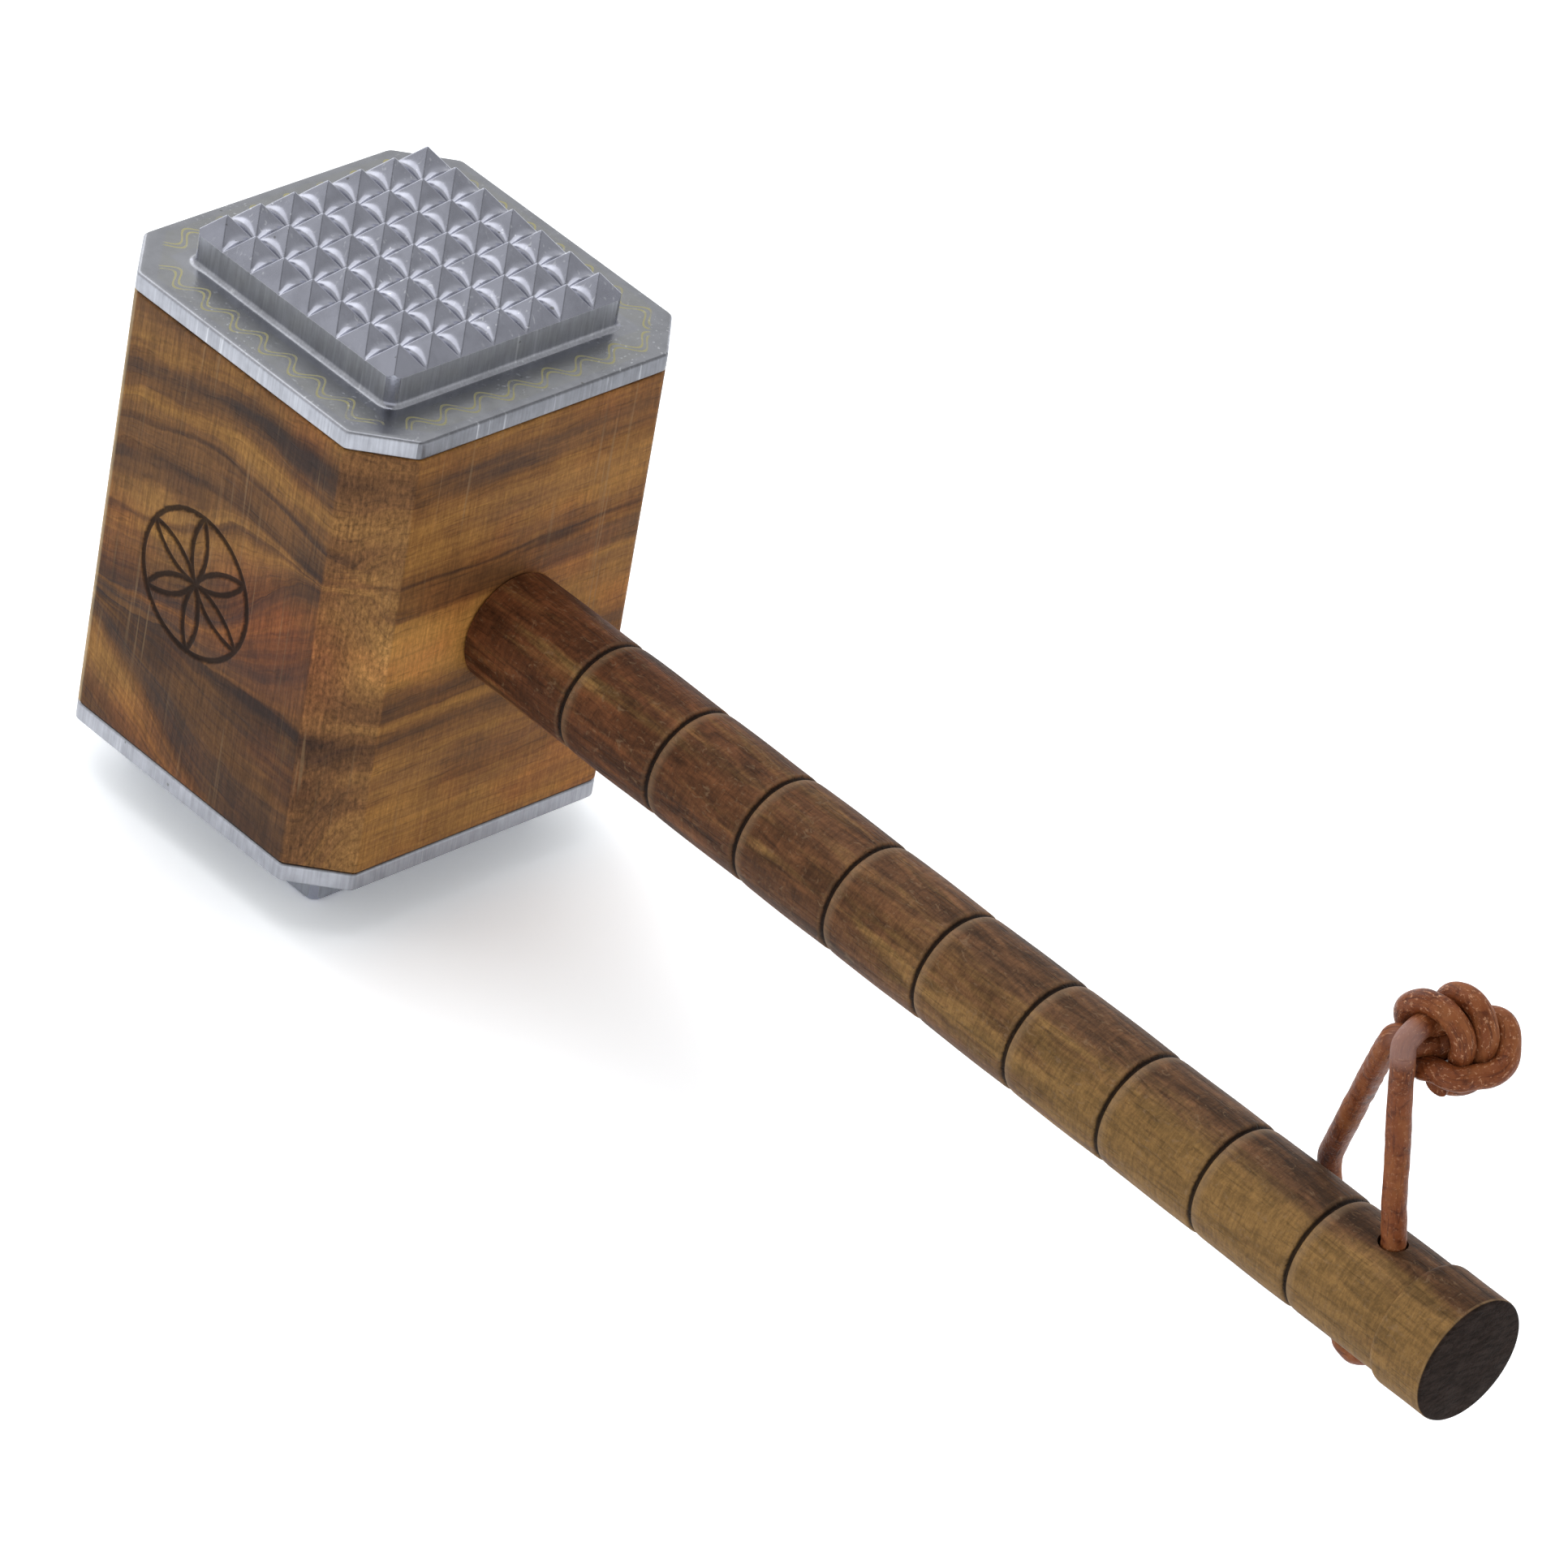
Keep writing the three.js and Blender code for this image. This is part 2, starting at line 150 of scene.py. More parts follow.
# The knot is laid out in its own directions: along it, up across it, and out from its front
knot_middle = (-2.8, 6.9, 38.7)
knot_along = (0.67, 0.73, 0.15)
knot_front = (0.55, -0.61, 0.57)
wrap_strand = [
    (-7.2, -2.4, 3.1), (-7.2, -1.3, 3.6), (-7, -0.3, 3.5), (-6.1, 0.7, 2.6), (-4.5, 1.5, 1.2),
    (-2.7, 1.7, 0.4), (-0.8, 1.4, 0), (2, 1.3, -0.8), (4.3, 2.5, -1), (6.1, 2.5, -0.3),
    (7, 0.5, 0.6), (6.2, -2.5, 1.5), (4.3, -4.4, 2.2), (1.7, -5.2, 2.5), (-0.9, -4.8, 2),
    (-3.5, -3.7, 0.2), (-4.6, -2.4, -2.6), (-5, -0.2, -4.5), (-6.2, 2.3, -3.7), (-6.6, 3.8, -1.8),
    (-5.7, 4.7, 0.3), (-3.5, 4.7, 2.5), (-1.2, 3.2, 3.8), (0.4, 0.8, 4.1), (1, -1.4, 3),
    (0.9, -2.9, 0.5), (0.2, -2.8, -2.6), (-0.8, -0.6, -4.2), (-1.5, 2.6, -3.6), (-1.3, 5, -1.6),
    (0.2, 5.8, 0.8), (2, 5, 2.3), (3.4, 2.9, 2.9), (4, 0.5, 2.8), (3.8, -1.6, 1.4),
    (2.6, -3.2, -0.9), (0.5, -4.4, -2.6), (-1.5, -5, -2.2), (-2.6, -6.5, -1.4),
]
core_strand = [
    (-8.46, -0.18, -0.65), (-8.2, 0.2, 0.4), (-7.2, 0.5, 1), (-5.6, -0.8, 0.4), (-3.8, -1.9, -0.6),
    (-1.4, -2.2, -1.2), (1, -1, -1.2), (2.8, -0.3, -1.4),
]

# Burnt rosette on the front side of the block
rosette_middle = (-2.5 * MM, 45 * MM)
rosette_radius = 11.5 * MM
rosette_depth = 0.32 * MM
rosette_line = 0.55 * MM
rosette_margin = 1 * MM
rosette_points = 170
petal_centres = [
    (rosette_radius * math.cos(turn), rosette_radius * math.sin(turn))
    for turn in (math.pi / 6 + petal * math.pi / 3 for petal in range(6))]

# Growth lines of the block's front side, from the bottom up: heights in millimetres at the places across
# the side, and the usual gap below each line. The figure ends over the block, as high as figure_reach.
figure_places = (-31, -24, -12, -5, 0, 5, 10, 15, 20, 24, 31)
figure_lines = (
    ((19, 16.5, 10.5, 7.5, 6, 4.8, 3.8, 3, 2.5, 2.2, 2), 12),
    ((31.5, 29.8, 22, 17.3, 14, 11, 9, 7.6, 6.6, 6.2, 5.6), 10),
    ((32.6, 32.8, 33.4, 33.8, 34, 34, 34, 34, 34, 34, 34), 15),
    ((33.4, 33.8, 34.8, 35.4, 36, 36.6, 38, 40, 43.6, 48, 57), 3),
    ((34.6, 35.5, 38, 39.4, 40.6, 43.5, 49, 55, 58.8, 59.6, 58.6), 8),
    ((47, 48, 50.5, 53.6, 57, 59.8, 60.6, 60.8, 60.8, 60.6, 59.6), 13),
    ((55, 57.5, 60, 61.6, 62.3, 62.8, 62.5, 61.9, 61.6, 61.4, 60.6), 3),
    ((59, 62, 66, 68, 68.6, 68.6, 68, 67, 65.8, 64.8, 62), 6),
    ((68, 71, 75.4, 77.2, 78, 78.6, 79, 79, 79, 79, 78), 9.5),
    ((72, 75, 79.5, 81.2, 82.2, 83, 83.6, 84, 84.2, 84.2, 84), 4),
)
figure_reach = 100
figure_top = figure_reach * MM
top_gap = 8

# Tones from 0, dark, to 1, golden: by the share of the way up the growth lines, and up the other sides
front_tones = (
    (0, 0.34), (0.06, 0.28), (0.095, 0.34), (0.12, 0.56), (0.16, 0.62), (0.176, 0.52), (0.19, 0.29),
    (0.23, 0.36), (0.258, 0.25), (0.272, 0.12), (0.285, 0.42), (0.33, 0.46), (0.355, 0.34), (0.38, 0.40),
    (0.425, 0.48), (0.452, 0.22), (0.475, 0.30), (0.5, 0.56), (0.53, 0.68), (0.544, 0.34), (0.552, 0.74),
    (0.58, 0.62), (0.615, 0.46), (0.638, 0.26), (0.66, 0.44), (0.7, 0.5), (0.722, 0.5), (0.729, 0.18),
    (0.738, 0.54), (0.77, 0.60), (0.815, 0.26), (0.88, 0.54),
)
level_tones = (
    (0, 0.66), (0.06, 0.70), (0.12, 0.68), (0.15, 0.52), (0.165, 0.42), (0.185, 0.60), (0.21, 0.56),
    (0.25, 0.62), (0.29, 0.52), (0.315, 0.30), (0.335, 0.46), (0.352, 0.68), (0.368, 0.44), (0.40, 0.40),
    (0.43, 0.58), (0.46, 0.78), (0.53, 0.88), (0.60, 0.80), (0.618, 0.44), (0.66, 0.48), (0.684, 0.44),
    (0.69, 0.12), (0.697, 0.46), (0.73, 0.62), (0.78, 0.72), (0.84, 0.68), (0.865, 0.48), (0.9, 0.40),
    (0.915, 0.48), (0.94, 0.42), (0.97, 0.54), (1, 0.58),
)

# Darker and paler patches: place across and height, half width and half height in millimetres, and tone
front_patches = (
    (17, 33.2, 10, 2.0, -0.34), (-11, 29.6, 10, 3.4, -0.20), (14, 79, 13, 3.0, -0.26), (-21, 21, 9, 8, 0.14),
    (12, 71, 13, 3.2, 0.16), (-13, 52, 9, 5, 0.10), (-14, 78, 10, 3.5, 0.12), (21, 62, 6, 4, -0.18),
    (14, 20, 12, 5, 0.05),
)
chamfer_patches = (
    (0, 81.5, 20, 5, -0.14), (0, 66.5, 20, 3, -0.14), (0, 59.5, 20, 4, 0.1), (0, 46.5, 20, 4.5, 0.1),
    (0, 32, 20, 3.6, -0.25), (0, 24, 20, 4, -0.1),
)
side_patches = (
    (-15, 50, 13, 6, 0.16), (17, 49, 12, 8, -0.12), (-8, 77.5, 13, 2.8, -0.06), (-10, 58.5, 12, 2.4, -0.14),
    (6, 60.4, 7, 0.9, -0.30), (-16, 39.5, 12, 2.4, -0.12), (-19, 25, 13, 11, 0.13),
)

# Redder patches of the front side, with their share of red
red_patches = ((14, 46, 15, 13, 0.9), (-6, 38, 16, 4, 0.4))

# Camera: the photograph's place, direction and focal length in pixels of the 1932 pixel frame
image_width = 1932
camera_place = (0.89277, -0.90369, 0.8893)
camera_right = (0.66519751, 0.73124966, 0.15095101)
camera_up = (-0.50786871, 0.29491488, 0.80937914)
focal_pixels = 12897.2
sensor_width = 36

# Floor disc, and the point that the main light aims at
floor_radius = 4
floor_sides = 96
floor_gap = 0.05 * MM
light_aim = (0.08, 0, 0.05)


class ThongSettings(bpy.types.PropertyGroup):
    thickness: FloatProperty(
        name="Lace thickness", description="Diameter of the round lace", default=3.5 * MM,
        min=1 * MM, max=6 * MM, subtype="DISTANCE", unit="LENGTH")
    leather: FloatVectorProperty(
        name="Leather", description="Main colour of the lace", subtype="COLOR",
        default=(0.235, 0.066, 0.020), min=0, max=1)
    worn: FloatVectorProperty(
        name="Worn leather", description="Paler colour where the lace is bent and rubbed", subtype="COLOR",
        default=(0.36, 0.128, 0.043), min=0, max=1)


class BlockSettings(bpy.types.PropertyGroup):
    black: FloatVectorProperty(
        name="Heart line", description="Colour of the blackest lines of the wood", subtype="COLOR",
        default=(0.040, 0.021, 0.014), min=0, max=1)
    dark: FloatVectorProperty(
        name="Dark band", description="Colour of the dark bands of the wood", subtype="COLOR",
        default=(0.095, 0.044, 0.019), min=0, max=1)
    brown: FloatVectorProperty(
        name="Brown", description="Colour of the middle bands of the wood", subtype="COLOR",
        default=(0.215, 0.098, 0.032), min=0, max=1)
    golden: FloatVectorProperty(
        name="Golden", description="Colour of the pale bands of the wood", subtype="COLOR",
        default=(0.43, 0.215, 0.058), min=0, max=1)


class PlateSettings(bpy.types.PropertyGroup):
    aluminium: FloatVectorProperty(
        name="Aluminium", description="Reflected colour of the striking plates", subtype="COLOR",
        default=(0.36, 0.37, 0.43), min=0, max=1)
    roughness: FloatProperty(
        name="Roughness", description="Roughness of the cast faces", default=0.25,
        min=0.05, max=1, subtype="FACTOR")
    ornament: FloatVectorProperty(
        name="Wave line", description="Colour of the faint wave line on the flanges", subtype="COLOR",
        default=(0.40, 0.37, 0.17), min=0, max=1)


class HandleSettings(bpy.types.PropertyGroup):
    near_head: FloatVectorProperty(
        name="Near the head", description="Reddish colour of the handle beside the head", subtype="COLOR",
        default=(0.120, 0.041, 0.015), min=0, max=1)
    middle: FloatVectorProperty(
        name="Body", description="Brown of the handle further out", subtype="COLOR",
        default=(0.130, 0.060, 0.026), min=0, max=1)
    near_end: FloatVectorProperty(
        name="Near the end", description="Golden brown on the front of the free end", subtype="COLOR",
        default=(0.245, 0.136, 0.045), min=0, max=1)


class StageSettings(bpy.types.PropertyGroup):
    key_power: FloatProperty(
        name="Main light", description="Power of the large soft light above on the left", default=5.4,
        min=0, max=50, unit="POWER")


# Shapes

def unit(vectors):
    """Each vector divided by its own length."""
    vectors = np.asarray(vectors, float)
    return vectors / np.linalg.norm(vectors, axis=-1, keepdims=True)


def mesh_object(name, points, faces):
    """A smooth shaded mesh of points and of faces, the faces as arrays of corner numbers."""
    mesh = bpy.data.meshes.new(name)
    mesh.from_pydata(points.reshape(-1, 3), [], [face for group in faces for face in group.tolist()])
    mesh.update()
    mesh.shade_smooth()
    obj = bpy.data.objects.new(name, mesh)
    bpy.context.scene.collection.objects.link(obj)
    return obj


def skin_faces(count, around, start=0):
    """Quads between each row of points and the next, all round, for rows that run anticlockwise upward."""
    low = start + np.arange((count - 1) * around).reshape(-1, around)
    following = np.roll(low, -1, axis=1)
    return np.stack([low, following, following + around, low + around], axis=-1).reshape(-1, 4)


def fan_faces(first, around, middle, upward):
    """Triangles from a row's points to one middle point, facing upward or downward."""
    here = first + np.arange(around)
    following = np.roll(here, -1)
    corners = [here, following] if upward else [following, here]
    return np.stack([np.full(around, middle), *corners], axis=-1)


def closed_skins(skins):
    """Points and faces of closed skins over rows of points: quads join the rows, and a fan closes each
    end at its middle."""
    points, faces, start = [], [], 0
    for rows in skins:
        count, around = rows.shape[:2]
        end = start + count * around
        points += [rows.reshape(-1, 3), rows[:1].mean(axis=1), rows[-1:].mean(axis=1)]
        faces += [skin_faces(count, around, start), fan_faces(start, around, end, False),
                  fan_faces(end - around, around, end + 1, True)]
        start = end + 2
    return np.concatenate(points), faces


def finish_mesh(obj, crease_degrees=35):
    """Marks the edges sharper than the crease, so that smooth shading stops there."""
    obj.data.set_sharp_from_angle(angle=math.radians(crease_degrees))


def ring_turns(sides):
    """Angles at even steps round a circle."""
    return np.linspace(0, 2 * math.pi, sides, endpoint=False)


def rod(name, radius, start, end, sides=48):
    """A plain round rod from one point to another, for cutting a hole."""
    start, end = np.array(start, float), np.array(end, float)
    along = unit(end - start)
    side = unit(np.cross(along, [0.3, 0.5, 0.8]))
    other = np.cross(along, side)
    turn = ring_turns(sides)
    ring = radius * (np.cos(turn)[:, None] * side + np.sin(turn)[:, None] * other)
    return mesh_object(name, *closed_skins([np.stack([start + ring, end + ring])]))


def cut_away(obj, cutters):
    """Cuts the rods out of the object, and removes them."""
    for cutter in cutters:
        boolean = obj.modifiers.new("cut", "BOOLEAN")
        boolean.operation = "DIFFERENCE"
        boolean.solver = "EXACT"
        boolean.object = cutter
    graph = bpy.context.evaluated_depsgraph_get()
    cut_mesh = bpy.data.meshes.new_from_object(obj.evaluated_get(graph))
    old_mesh = obj.data
    obj.modifiers.clear()
    obj.data = cut_mesh
    cut_mesh.name = obj.name
    bpy.data.meshes.remove(old_mesh)
    for cutter in cutters:
        bpy.data.meshes.remove(cutter.data)


def outline_row(angle, inset, height, sharpness=200):
    """One row of points round the head's outline at a height. The outline is a square with cut and
    slightly rounded corners, its eight sides moved in by the inset: the p-norm of a point's distances,
    each as a share of its side's own, is one there, with p the sharpness."""
    side = np.arange(8)[:, None]
    slanted = (2 * block_half - block_chamfer) / math.sqrt(2)
    distance = np.where(side % 2, slanted, block_half) - inset
    shares = np.maximum(np.cos(angle - side * math.pi / 4), 0) / distance
    radius = np.sum(shares ** sharpness, axis=0) ** (-1 / sharpness)
    return np.stack([radius * np.cos(angle), radius * np.sin(angle), np.full_like(angle, height)], axis=-1)


def quarter_round(radius, steps):
    """A quarter round from a flat end up to an upright side: how far each step lies in from the side and
    up from the end."""
    turn = np.linspace(0, math.pi / 2, steps)
    return radius * (1 - np.sin(turn)), radius * (1 - np.cos(turn))


def crowded(count, low, high, places, width, share):
    """Numbers from low to high that stand closer together near the places: the running total of one plus
    a bell curve at each place is cut into equal steps."""
    fine = np.linspace(low, high, 20000)
    density = np.ones_like(fine)
    for place in places:
        density += share * np.exp(-((fine - place) / width) ** 2)
    total = np.concatenate([[0], np.cumsum((density[1:] + density[:-1]) / 2)])
    return np.interp(np.linspace(0, total[-1], count), total, fine)


def rosette_distance(across, up):
    """Distance to the lines of a six-petal compass rosette: a circle, and inside it six arcs of the same
    radius whose middles stand on the circle, a sixth of a turn apart."""
    from_middle = np.hypot(across, up)
    nearest = np.abs(from_middle - rosette_radius)
    for centre_across, centre_up in petal_centres:
        arc = np.abs(np.hypot(across - centre_across, up - centre_up) - rosette_radius)
        nearest = np.where(from_middle < rosette_radius, np.minimum(nearest, arc), nearest)
    return nearest


def block_shape():
    """The block: rows round a square with cut corners, from its lower end to its upper one, drawn in by a
    quarter round at both ends. The rosette's lines are pressed into the front side, as deep as a parabola
    of the distance to the nearest line. Points are crowded at the corners and over the rosette."""
    quarter = math.pi / 2
    corner = math.atan2(block_half - block_chamfer, block_half)
    corners = [side * quarter + offset for side in range(-2, 3) for offset in (-corner, corner)]
    angle = crowded(block_columns, -math.pi, math.pi, corners, 0.012, 30)
    reach = rosette_radius + rosette_margin
    fine = np.linspace(-reach, reach, rosette_points)
    across = np.arctan((rosette_middle[0] + fine) / block_half) - quarter
    angle = np.unique(np.concatenate([angle[:-1], across]))
    middle = rosette_middle[1]
    below = np.linspace(block_low.z + block_ease, middle - reach, rows_below_rosette)[1:-1]
    above = np.linspace(middle + reach, block_high.z - block_ease, rows_above_rosette)[1:-1]
    ease = list(zip(*quarter_round(block_ease, 7)))
    levels = [(inset, block_low.z + rise) for inset, rise in ease]
    levels += [(0, height) for height in (*below, *(middle + fine), *above)]
    levels += [(inset, block_high.z - rise) for inset, rise in reversed(ease)]
    rows = np.array([outline_row(angle, inset, height) for inset, height in levels])
    distance = rosette_distance(rows[..., 0] - rosette_middle[0], rows[..., 2] - middle)
    share = np.clip(1 - (distance / rosette_line) ** 2, 0, 1)
    on_front = rows[..., 1] < -(block_half - 0.05 * MM)
    rows[..., 1] += np.where(on_front, rosette_depth * share, 0)
    return rows


def square_loop(cells):
    """Grid places along the edge of a square of cells, anticlockwise, as two arrays of numbers."""
    run = np.arange(cells)
    still = np.full(cells, cells)
    none = np.zeros(cells, int)
    across = np.concatenate([run, still, cells - run, none])
    up = np.concatenate([none, run, still, cells - run])
    return across, up


def round_square_grid(cells, half, radius):
    """A square grid of points drawn over a square with round corners. In each corner square, as wide as
    the radius, a point keeps its direction from the corner's centre and takes its larger coordinate as
    its distance, so that the square's edge falls on the arc."""
    place = np.linspace(-half, half, cells + 1)
    x, y = np.meshgrid(place, place, indexing="ij")
    over_x = np.maximum(np.abs(x) - (half - radius), 0)
    over_y = np.maximum(np.abs(y) - (half - radius), 0)
    longest = np.maximum(over_x, over_y)
    distance = np.hypot(over_x, over_y)
    share = np.where(distance > 0, longest / np.where(distance > 0, distance, 1), 1)
    x = np.sign(x) * (np.minimum(np.abs(x), half - radius) + over_x * share)
    y = np.sign(y) * (np.minimum(np.abs(y), half - radius) + over_y * share)
    return x, y


def from_valley(place):
    """Distance to the nearest valley of one run of grooves. The first and last lie on the field's edges."""
    return np.abs((place + field_half + tooth_pitch / 2) % tooth_pitch - tooth_pitch / 2)


def groove_height(across, along, at_edge):
    """Height over the crossings of one run of grooves, from the distance to the groove's valley and to the
    valley that crosses it. A groove has straight flanks, and its bottom is a parabola that grows from
    nothing at a crossing to its widest halfway, as a sine. The grooves on the field's edges have none."""
    width = valley_fullness * tooth_pitch / math.pi * np.sin(math.pi * along / tooth_pitch)
    width = np.where(at_edge, 1e-6, np.maximum(width, 1e-6))
    rounded = across ** 2 / (2 * width) + width / 2
    return flank_steepness * np.where(across < width, rounded, across)


def smaller(a, b, softness):
    """The smaller of two numbers, with the crossing between them rounded over about the softness."""
    share = np.clip(0.5 + 0.5 * (b - a) / softness, 0, 1)
    return b + (a - b) * share - softness * share * (1 - share)


def plate_shape(cells, pad_half, pad_top, rim_ease, top_height):
    """A striking plate with its back at z = 0: rows of points from the back, round the flange's eased
    rim, over its flat face, up the pad's hollow foot and side to its rim, and a grid over the pad's top.
    top_height gives the height of the top over the rim from x and y. Each square of the grid is split
    along its higher diagonal, so that ridges stay straight."""
    corner = max(pad_corner - rim_ease, sharpest_corner)
    grid_x, grid_y = round_square_grid(cells, pad_half - rim_ease, corner)
    loop = square_loop(cells)
    rim = np.stack([grid_x[loop], grid_y[loop]], axis=-1)
    chord = np.roll(rim, -1, axis=0) - np.roll(rim, 1, axis=0)
    outward = unit(np.stack([chord[:, 1], -chord[:, 0]], axis=-1))
    foot = rim + outward * (pad_flare + rim_ease)
    angle = np.arctan2(foot[:, 1], foot[:, 0])

    def pad_row(grow, height):
        return np.column_stack([rim + outward * (grow + rim_ease), np.full(len(rim), height)])

    ease = list(zip(*quarter_round(flange_ease, 6)))
    rows = [outline_row(angle, inset, rise) for inset, rise in ease]
    rows += [outline_row(angle, inset, flange_thickness - rise) for inset, rise in reversed(ease)]
    rows.append(outline_row(angle, flange_flat, flange_thickness))
    rows += [pad_row(grow, flange_thickness + rise) for grow, rise in zip(*quarter_round(pad_flare, 6))]
    if rim_ease:
        fall, shrink = quarter_round(rim_ease, 6)
        rows += [pad_row(-inward, pad_top - down) for inward, down in zip(shrink[:-1], fall[:-1])]
    side = np.array(rows)
    count, around = side.shape[:2]
    top = np.stack([grid_x, grid_y, pad_top + top_height(grid_x, grid_y)], axis=-1)
    start = count * around
    number = start + np.arange((cells + 1) ** 2).reshape(cells + 1, cells + 1)
    corners = np.stack([number[:-1, :-1], number[1:, :-1], number[1:, 1:], number[:-1, 1:]], axis=-1)
    corners = corners.reshape(-1, 4)
    z = top[..., 2].ravel()[corners - start]
    turned = z[:, 1] + z[:, 3] > z[:, 0] + z[:, 2]
    corners = np.where(turned[:, None], np.roll(corners, -1, axis=1), corners)
    triangles = np.concatenate([corners[:, [0, 1, 2]], corners[:, [0, 2, 3]]])
    last = start - around + np.arange(around)
    edge = number[loop]
    joint = np.stack([last, np.roll(last, -1), np.roll(edge, -1), edge], axis=-1)
    points = np.concatenate([side.reshape(-1, 3), top.reshape(-1, 3), [[0, 0, 0]]])
    faces = [skin_faces(count, around), joint, triangles, fan_faces(0, around, len(points) - 1, False)]
    return points, faces


def pin_rods(height, up, depth):
    """Rods that cut the blind holes of the two dowel pins, up or, for -1, down from a height."""
    start, end = height - up * cutter_overlap, height + up * depth
    return [
        rod("pin hole", pin_hole_radius, (0, place, start), (0, place, end))
        for place in (-pin_hole_spacing / 2, pin_hole_spacing / 2)
    ]


def handle_radius(along):
    """Radius of the handle by distance along X from the middle of the block. Each groove is a bell curve
    with a shallow shoulder that dies away on its far side. The stick also swells and shrinks by a few
    hundredths of a millimetre, as turning leaves it."""
    base = (handle_high.z - handle_low.z) / 2 - stick_under_pommel
    radius = np.full_like(along, base)
    radius += turning_swell * sum(np.sin(along / length + shift) for length, shift in turning_waves)
    for place in groove_places:
        offset = along - place
        dip = np.exp(-(offset / groove_spread) ** 2)
        radius -= groove_depth * dip
        shoulder = groove_shoulder_depth * np.exp(-np.maximum(offset, 0) / groove_shoulder)
        radius -= np.where(offset > 0, shoulder, 0) * (1 - dip)
    into_pommel = np.clip((along - (handle_end - pommel_length)) / pommel_round, 0, 1)
    return radius + (pommel_radius - base) * np.sqrt(1 - (1 - into_pommel) ** 2)


def handle_shape():
    """The handle, turned about X: rings whose radius follows handle_radius, close together at the grooves
    and the pommel's step, with the tenon before the shoulder and eased edges at both ends."""
    tenon_start = handle_low.x
    shoulder = block_half + shoulder_gap
    steps = [*groove_places, handle_end - pommel_length]
    along = crowded(handle_rings, shoulder + 0.3 * MM, handle_end - pommel_ease, steps, groove_width, 12)
    radius = handle_radius(along)
    fall, shrink = quarter_round(pommel_ease, 6)
    before = [
        (tenon_start, tenon_radius - tenon_ease), (tenon_start + tenon_ease, tenon_radius),
        (shoulder - 0.2 * MM, tenon_radius), (shoulder, radius[0] - 0.3 * MM),
    ]
    after = zip(handle_end - fall[1:], radius[-1] - shrink[1:])
    profile = np.array([*before, *zip(along, radius), *after])
    turn = ring_turns(handle_sides)
    x = np.repeat(profile[:, :1], handle_sides, axis=1)
    y = profile[:, 1:] * np.cos(turn)
    z = axis_height + profile[:, 1:] * np.sin(turn)
    return np.stack([x, y, z], axis=-1)


def travelled(path):
    """The distance walked along the path to each of its points."""
    return np.concatenate([[0], np.cumsum(np.linalg.norm(np.diff(path, axis=0), axis=1))])


def smooth_route(places):
    """A smooth line through the places, given in millimetres, as points about one step apart. It is the
    centripetal curve through four neighbouring places at a time: a cubic whose slope at each place is the
    weighted mean of the slopes to its neighbours, by the square root of the distance between them."""
    places = np.array(places) * MM
    full = np.concatenate([[2 * places[0] - places[1]], places, [2 * places[-1] - places[-2]]])
    gaps = np.sqrt(np.linalg.norm(np.diff(full, axis=0), axis=1))[:, None]
    slopes = np.diff(full, axis=0) / gaps
    tangents = slopes[:-1] - (full[2:] - full[:-2]) / (gaps[:-1] + gaps[1:]) + slopes[1:]
    share = np.linspace(0, 1, 24, endpoint=False)[:, None, None]
    low, high = places[:-1], places[1:]
    low_slope, high_slope = tangents[:-1] * gaps[1:-1], tangents[1:] * gaps[1:-1]
    cubic = (
        (2 * share ** 3 - 3 * share ** 2 + 1) * low + (share ** 3 - 2 * share ** 2 + share) * low_slope
        + (3 * share ** 2 - 2 * share ** 3) * high + (share ** 3 - share ** 2) * high_slope
    )
    dense = np.concatenate([cubic.transpose(1, 0, 2).reshape(-1, 3), places[-1:]])
    walked = travelled(dense)
    even = np.linspace(0, walked[-1], max(int(walked[-1] / route_step), 2) + 1)
    return np.stack([np.interp(even, walked, dense[:, axis]) for axis in range(3)], axis=-1)


def strand_rows(path, radius, seed):
    """Rows of points round a path. Each row's plane is square to the path, and turns with it as little as
    it can. The radius swells and thins by a few hundredths of itself along and round the strand, as a sum
    of sines. Also gives the same rows on the straightened strand."""
    along = unit(np.gradient(path, axis=0))
    across = np.empty_like(path)
    across[0] = unit(np.cross(along[0], [0.31, 0.42, 0.85]))
    for station in range(1, len(path)):
        leaning = across[station - 1]
        across[station] = unit(leaning - along[station] * np.dot(leaning, along[station]))
    other = np.cross(along, across)
    walked = travelled(path)[:, None]
    turn = ring_turns(lace_sides)[None, :]
    random = np.random.default_rng(seed)
    uneven = np.zeros((len(path), lace_sides))
    for _ in range(lace_waves):
        pace = random.uniform(0.25, 2.2) / MM
        lobes = random.integers(0, 4)
        uneven += random.uniform(0.3, 1) * np.sin(walked * pace + lobes * turn + random.uniform(0, 6.3))
    reach = radius * (1 + lace_unevenness * uneven)
    rows = path[:, None] + reach[..., None] * (
        np.cos(turn)[..., None] * across[:, None] + np.sin(turn)[..., None] * other[:, None])
    straight = np.stack([
        np.broadcast_to(walked, reach.shape), reach * np.cos(turn), reach * np.sin(turn)], axis=-1)
    return rows, straight


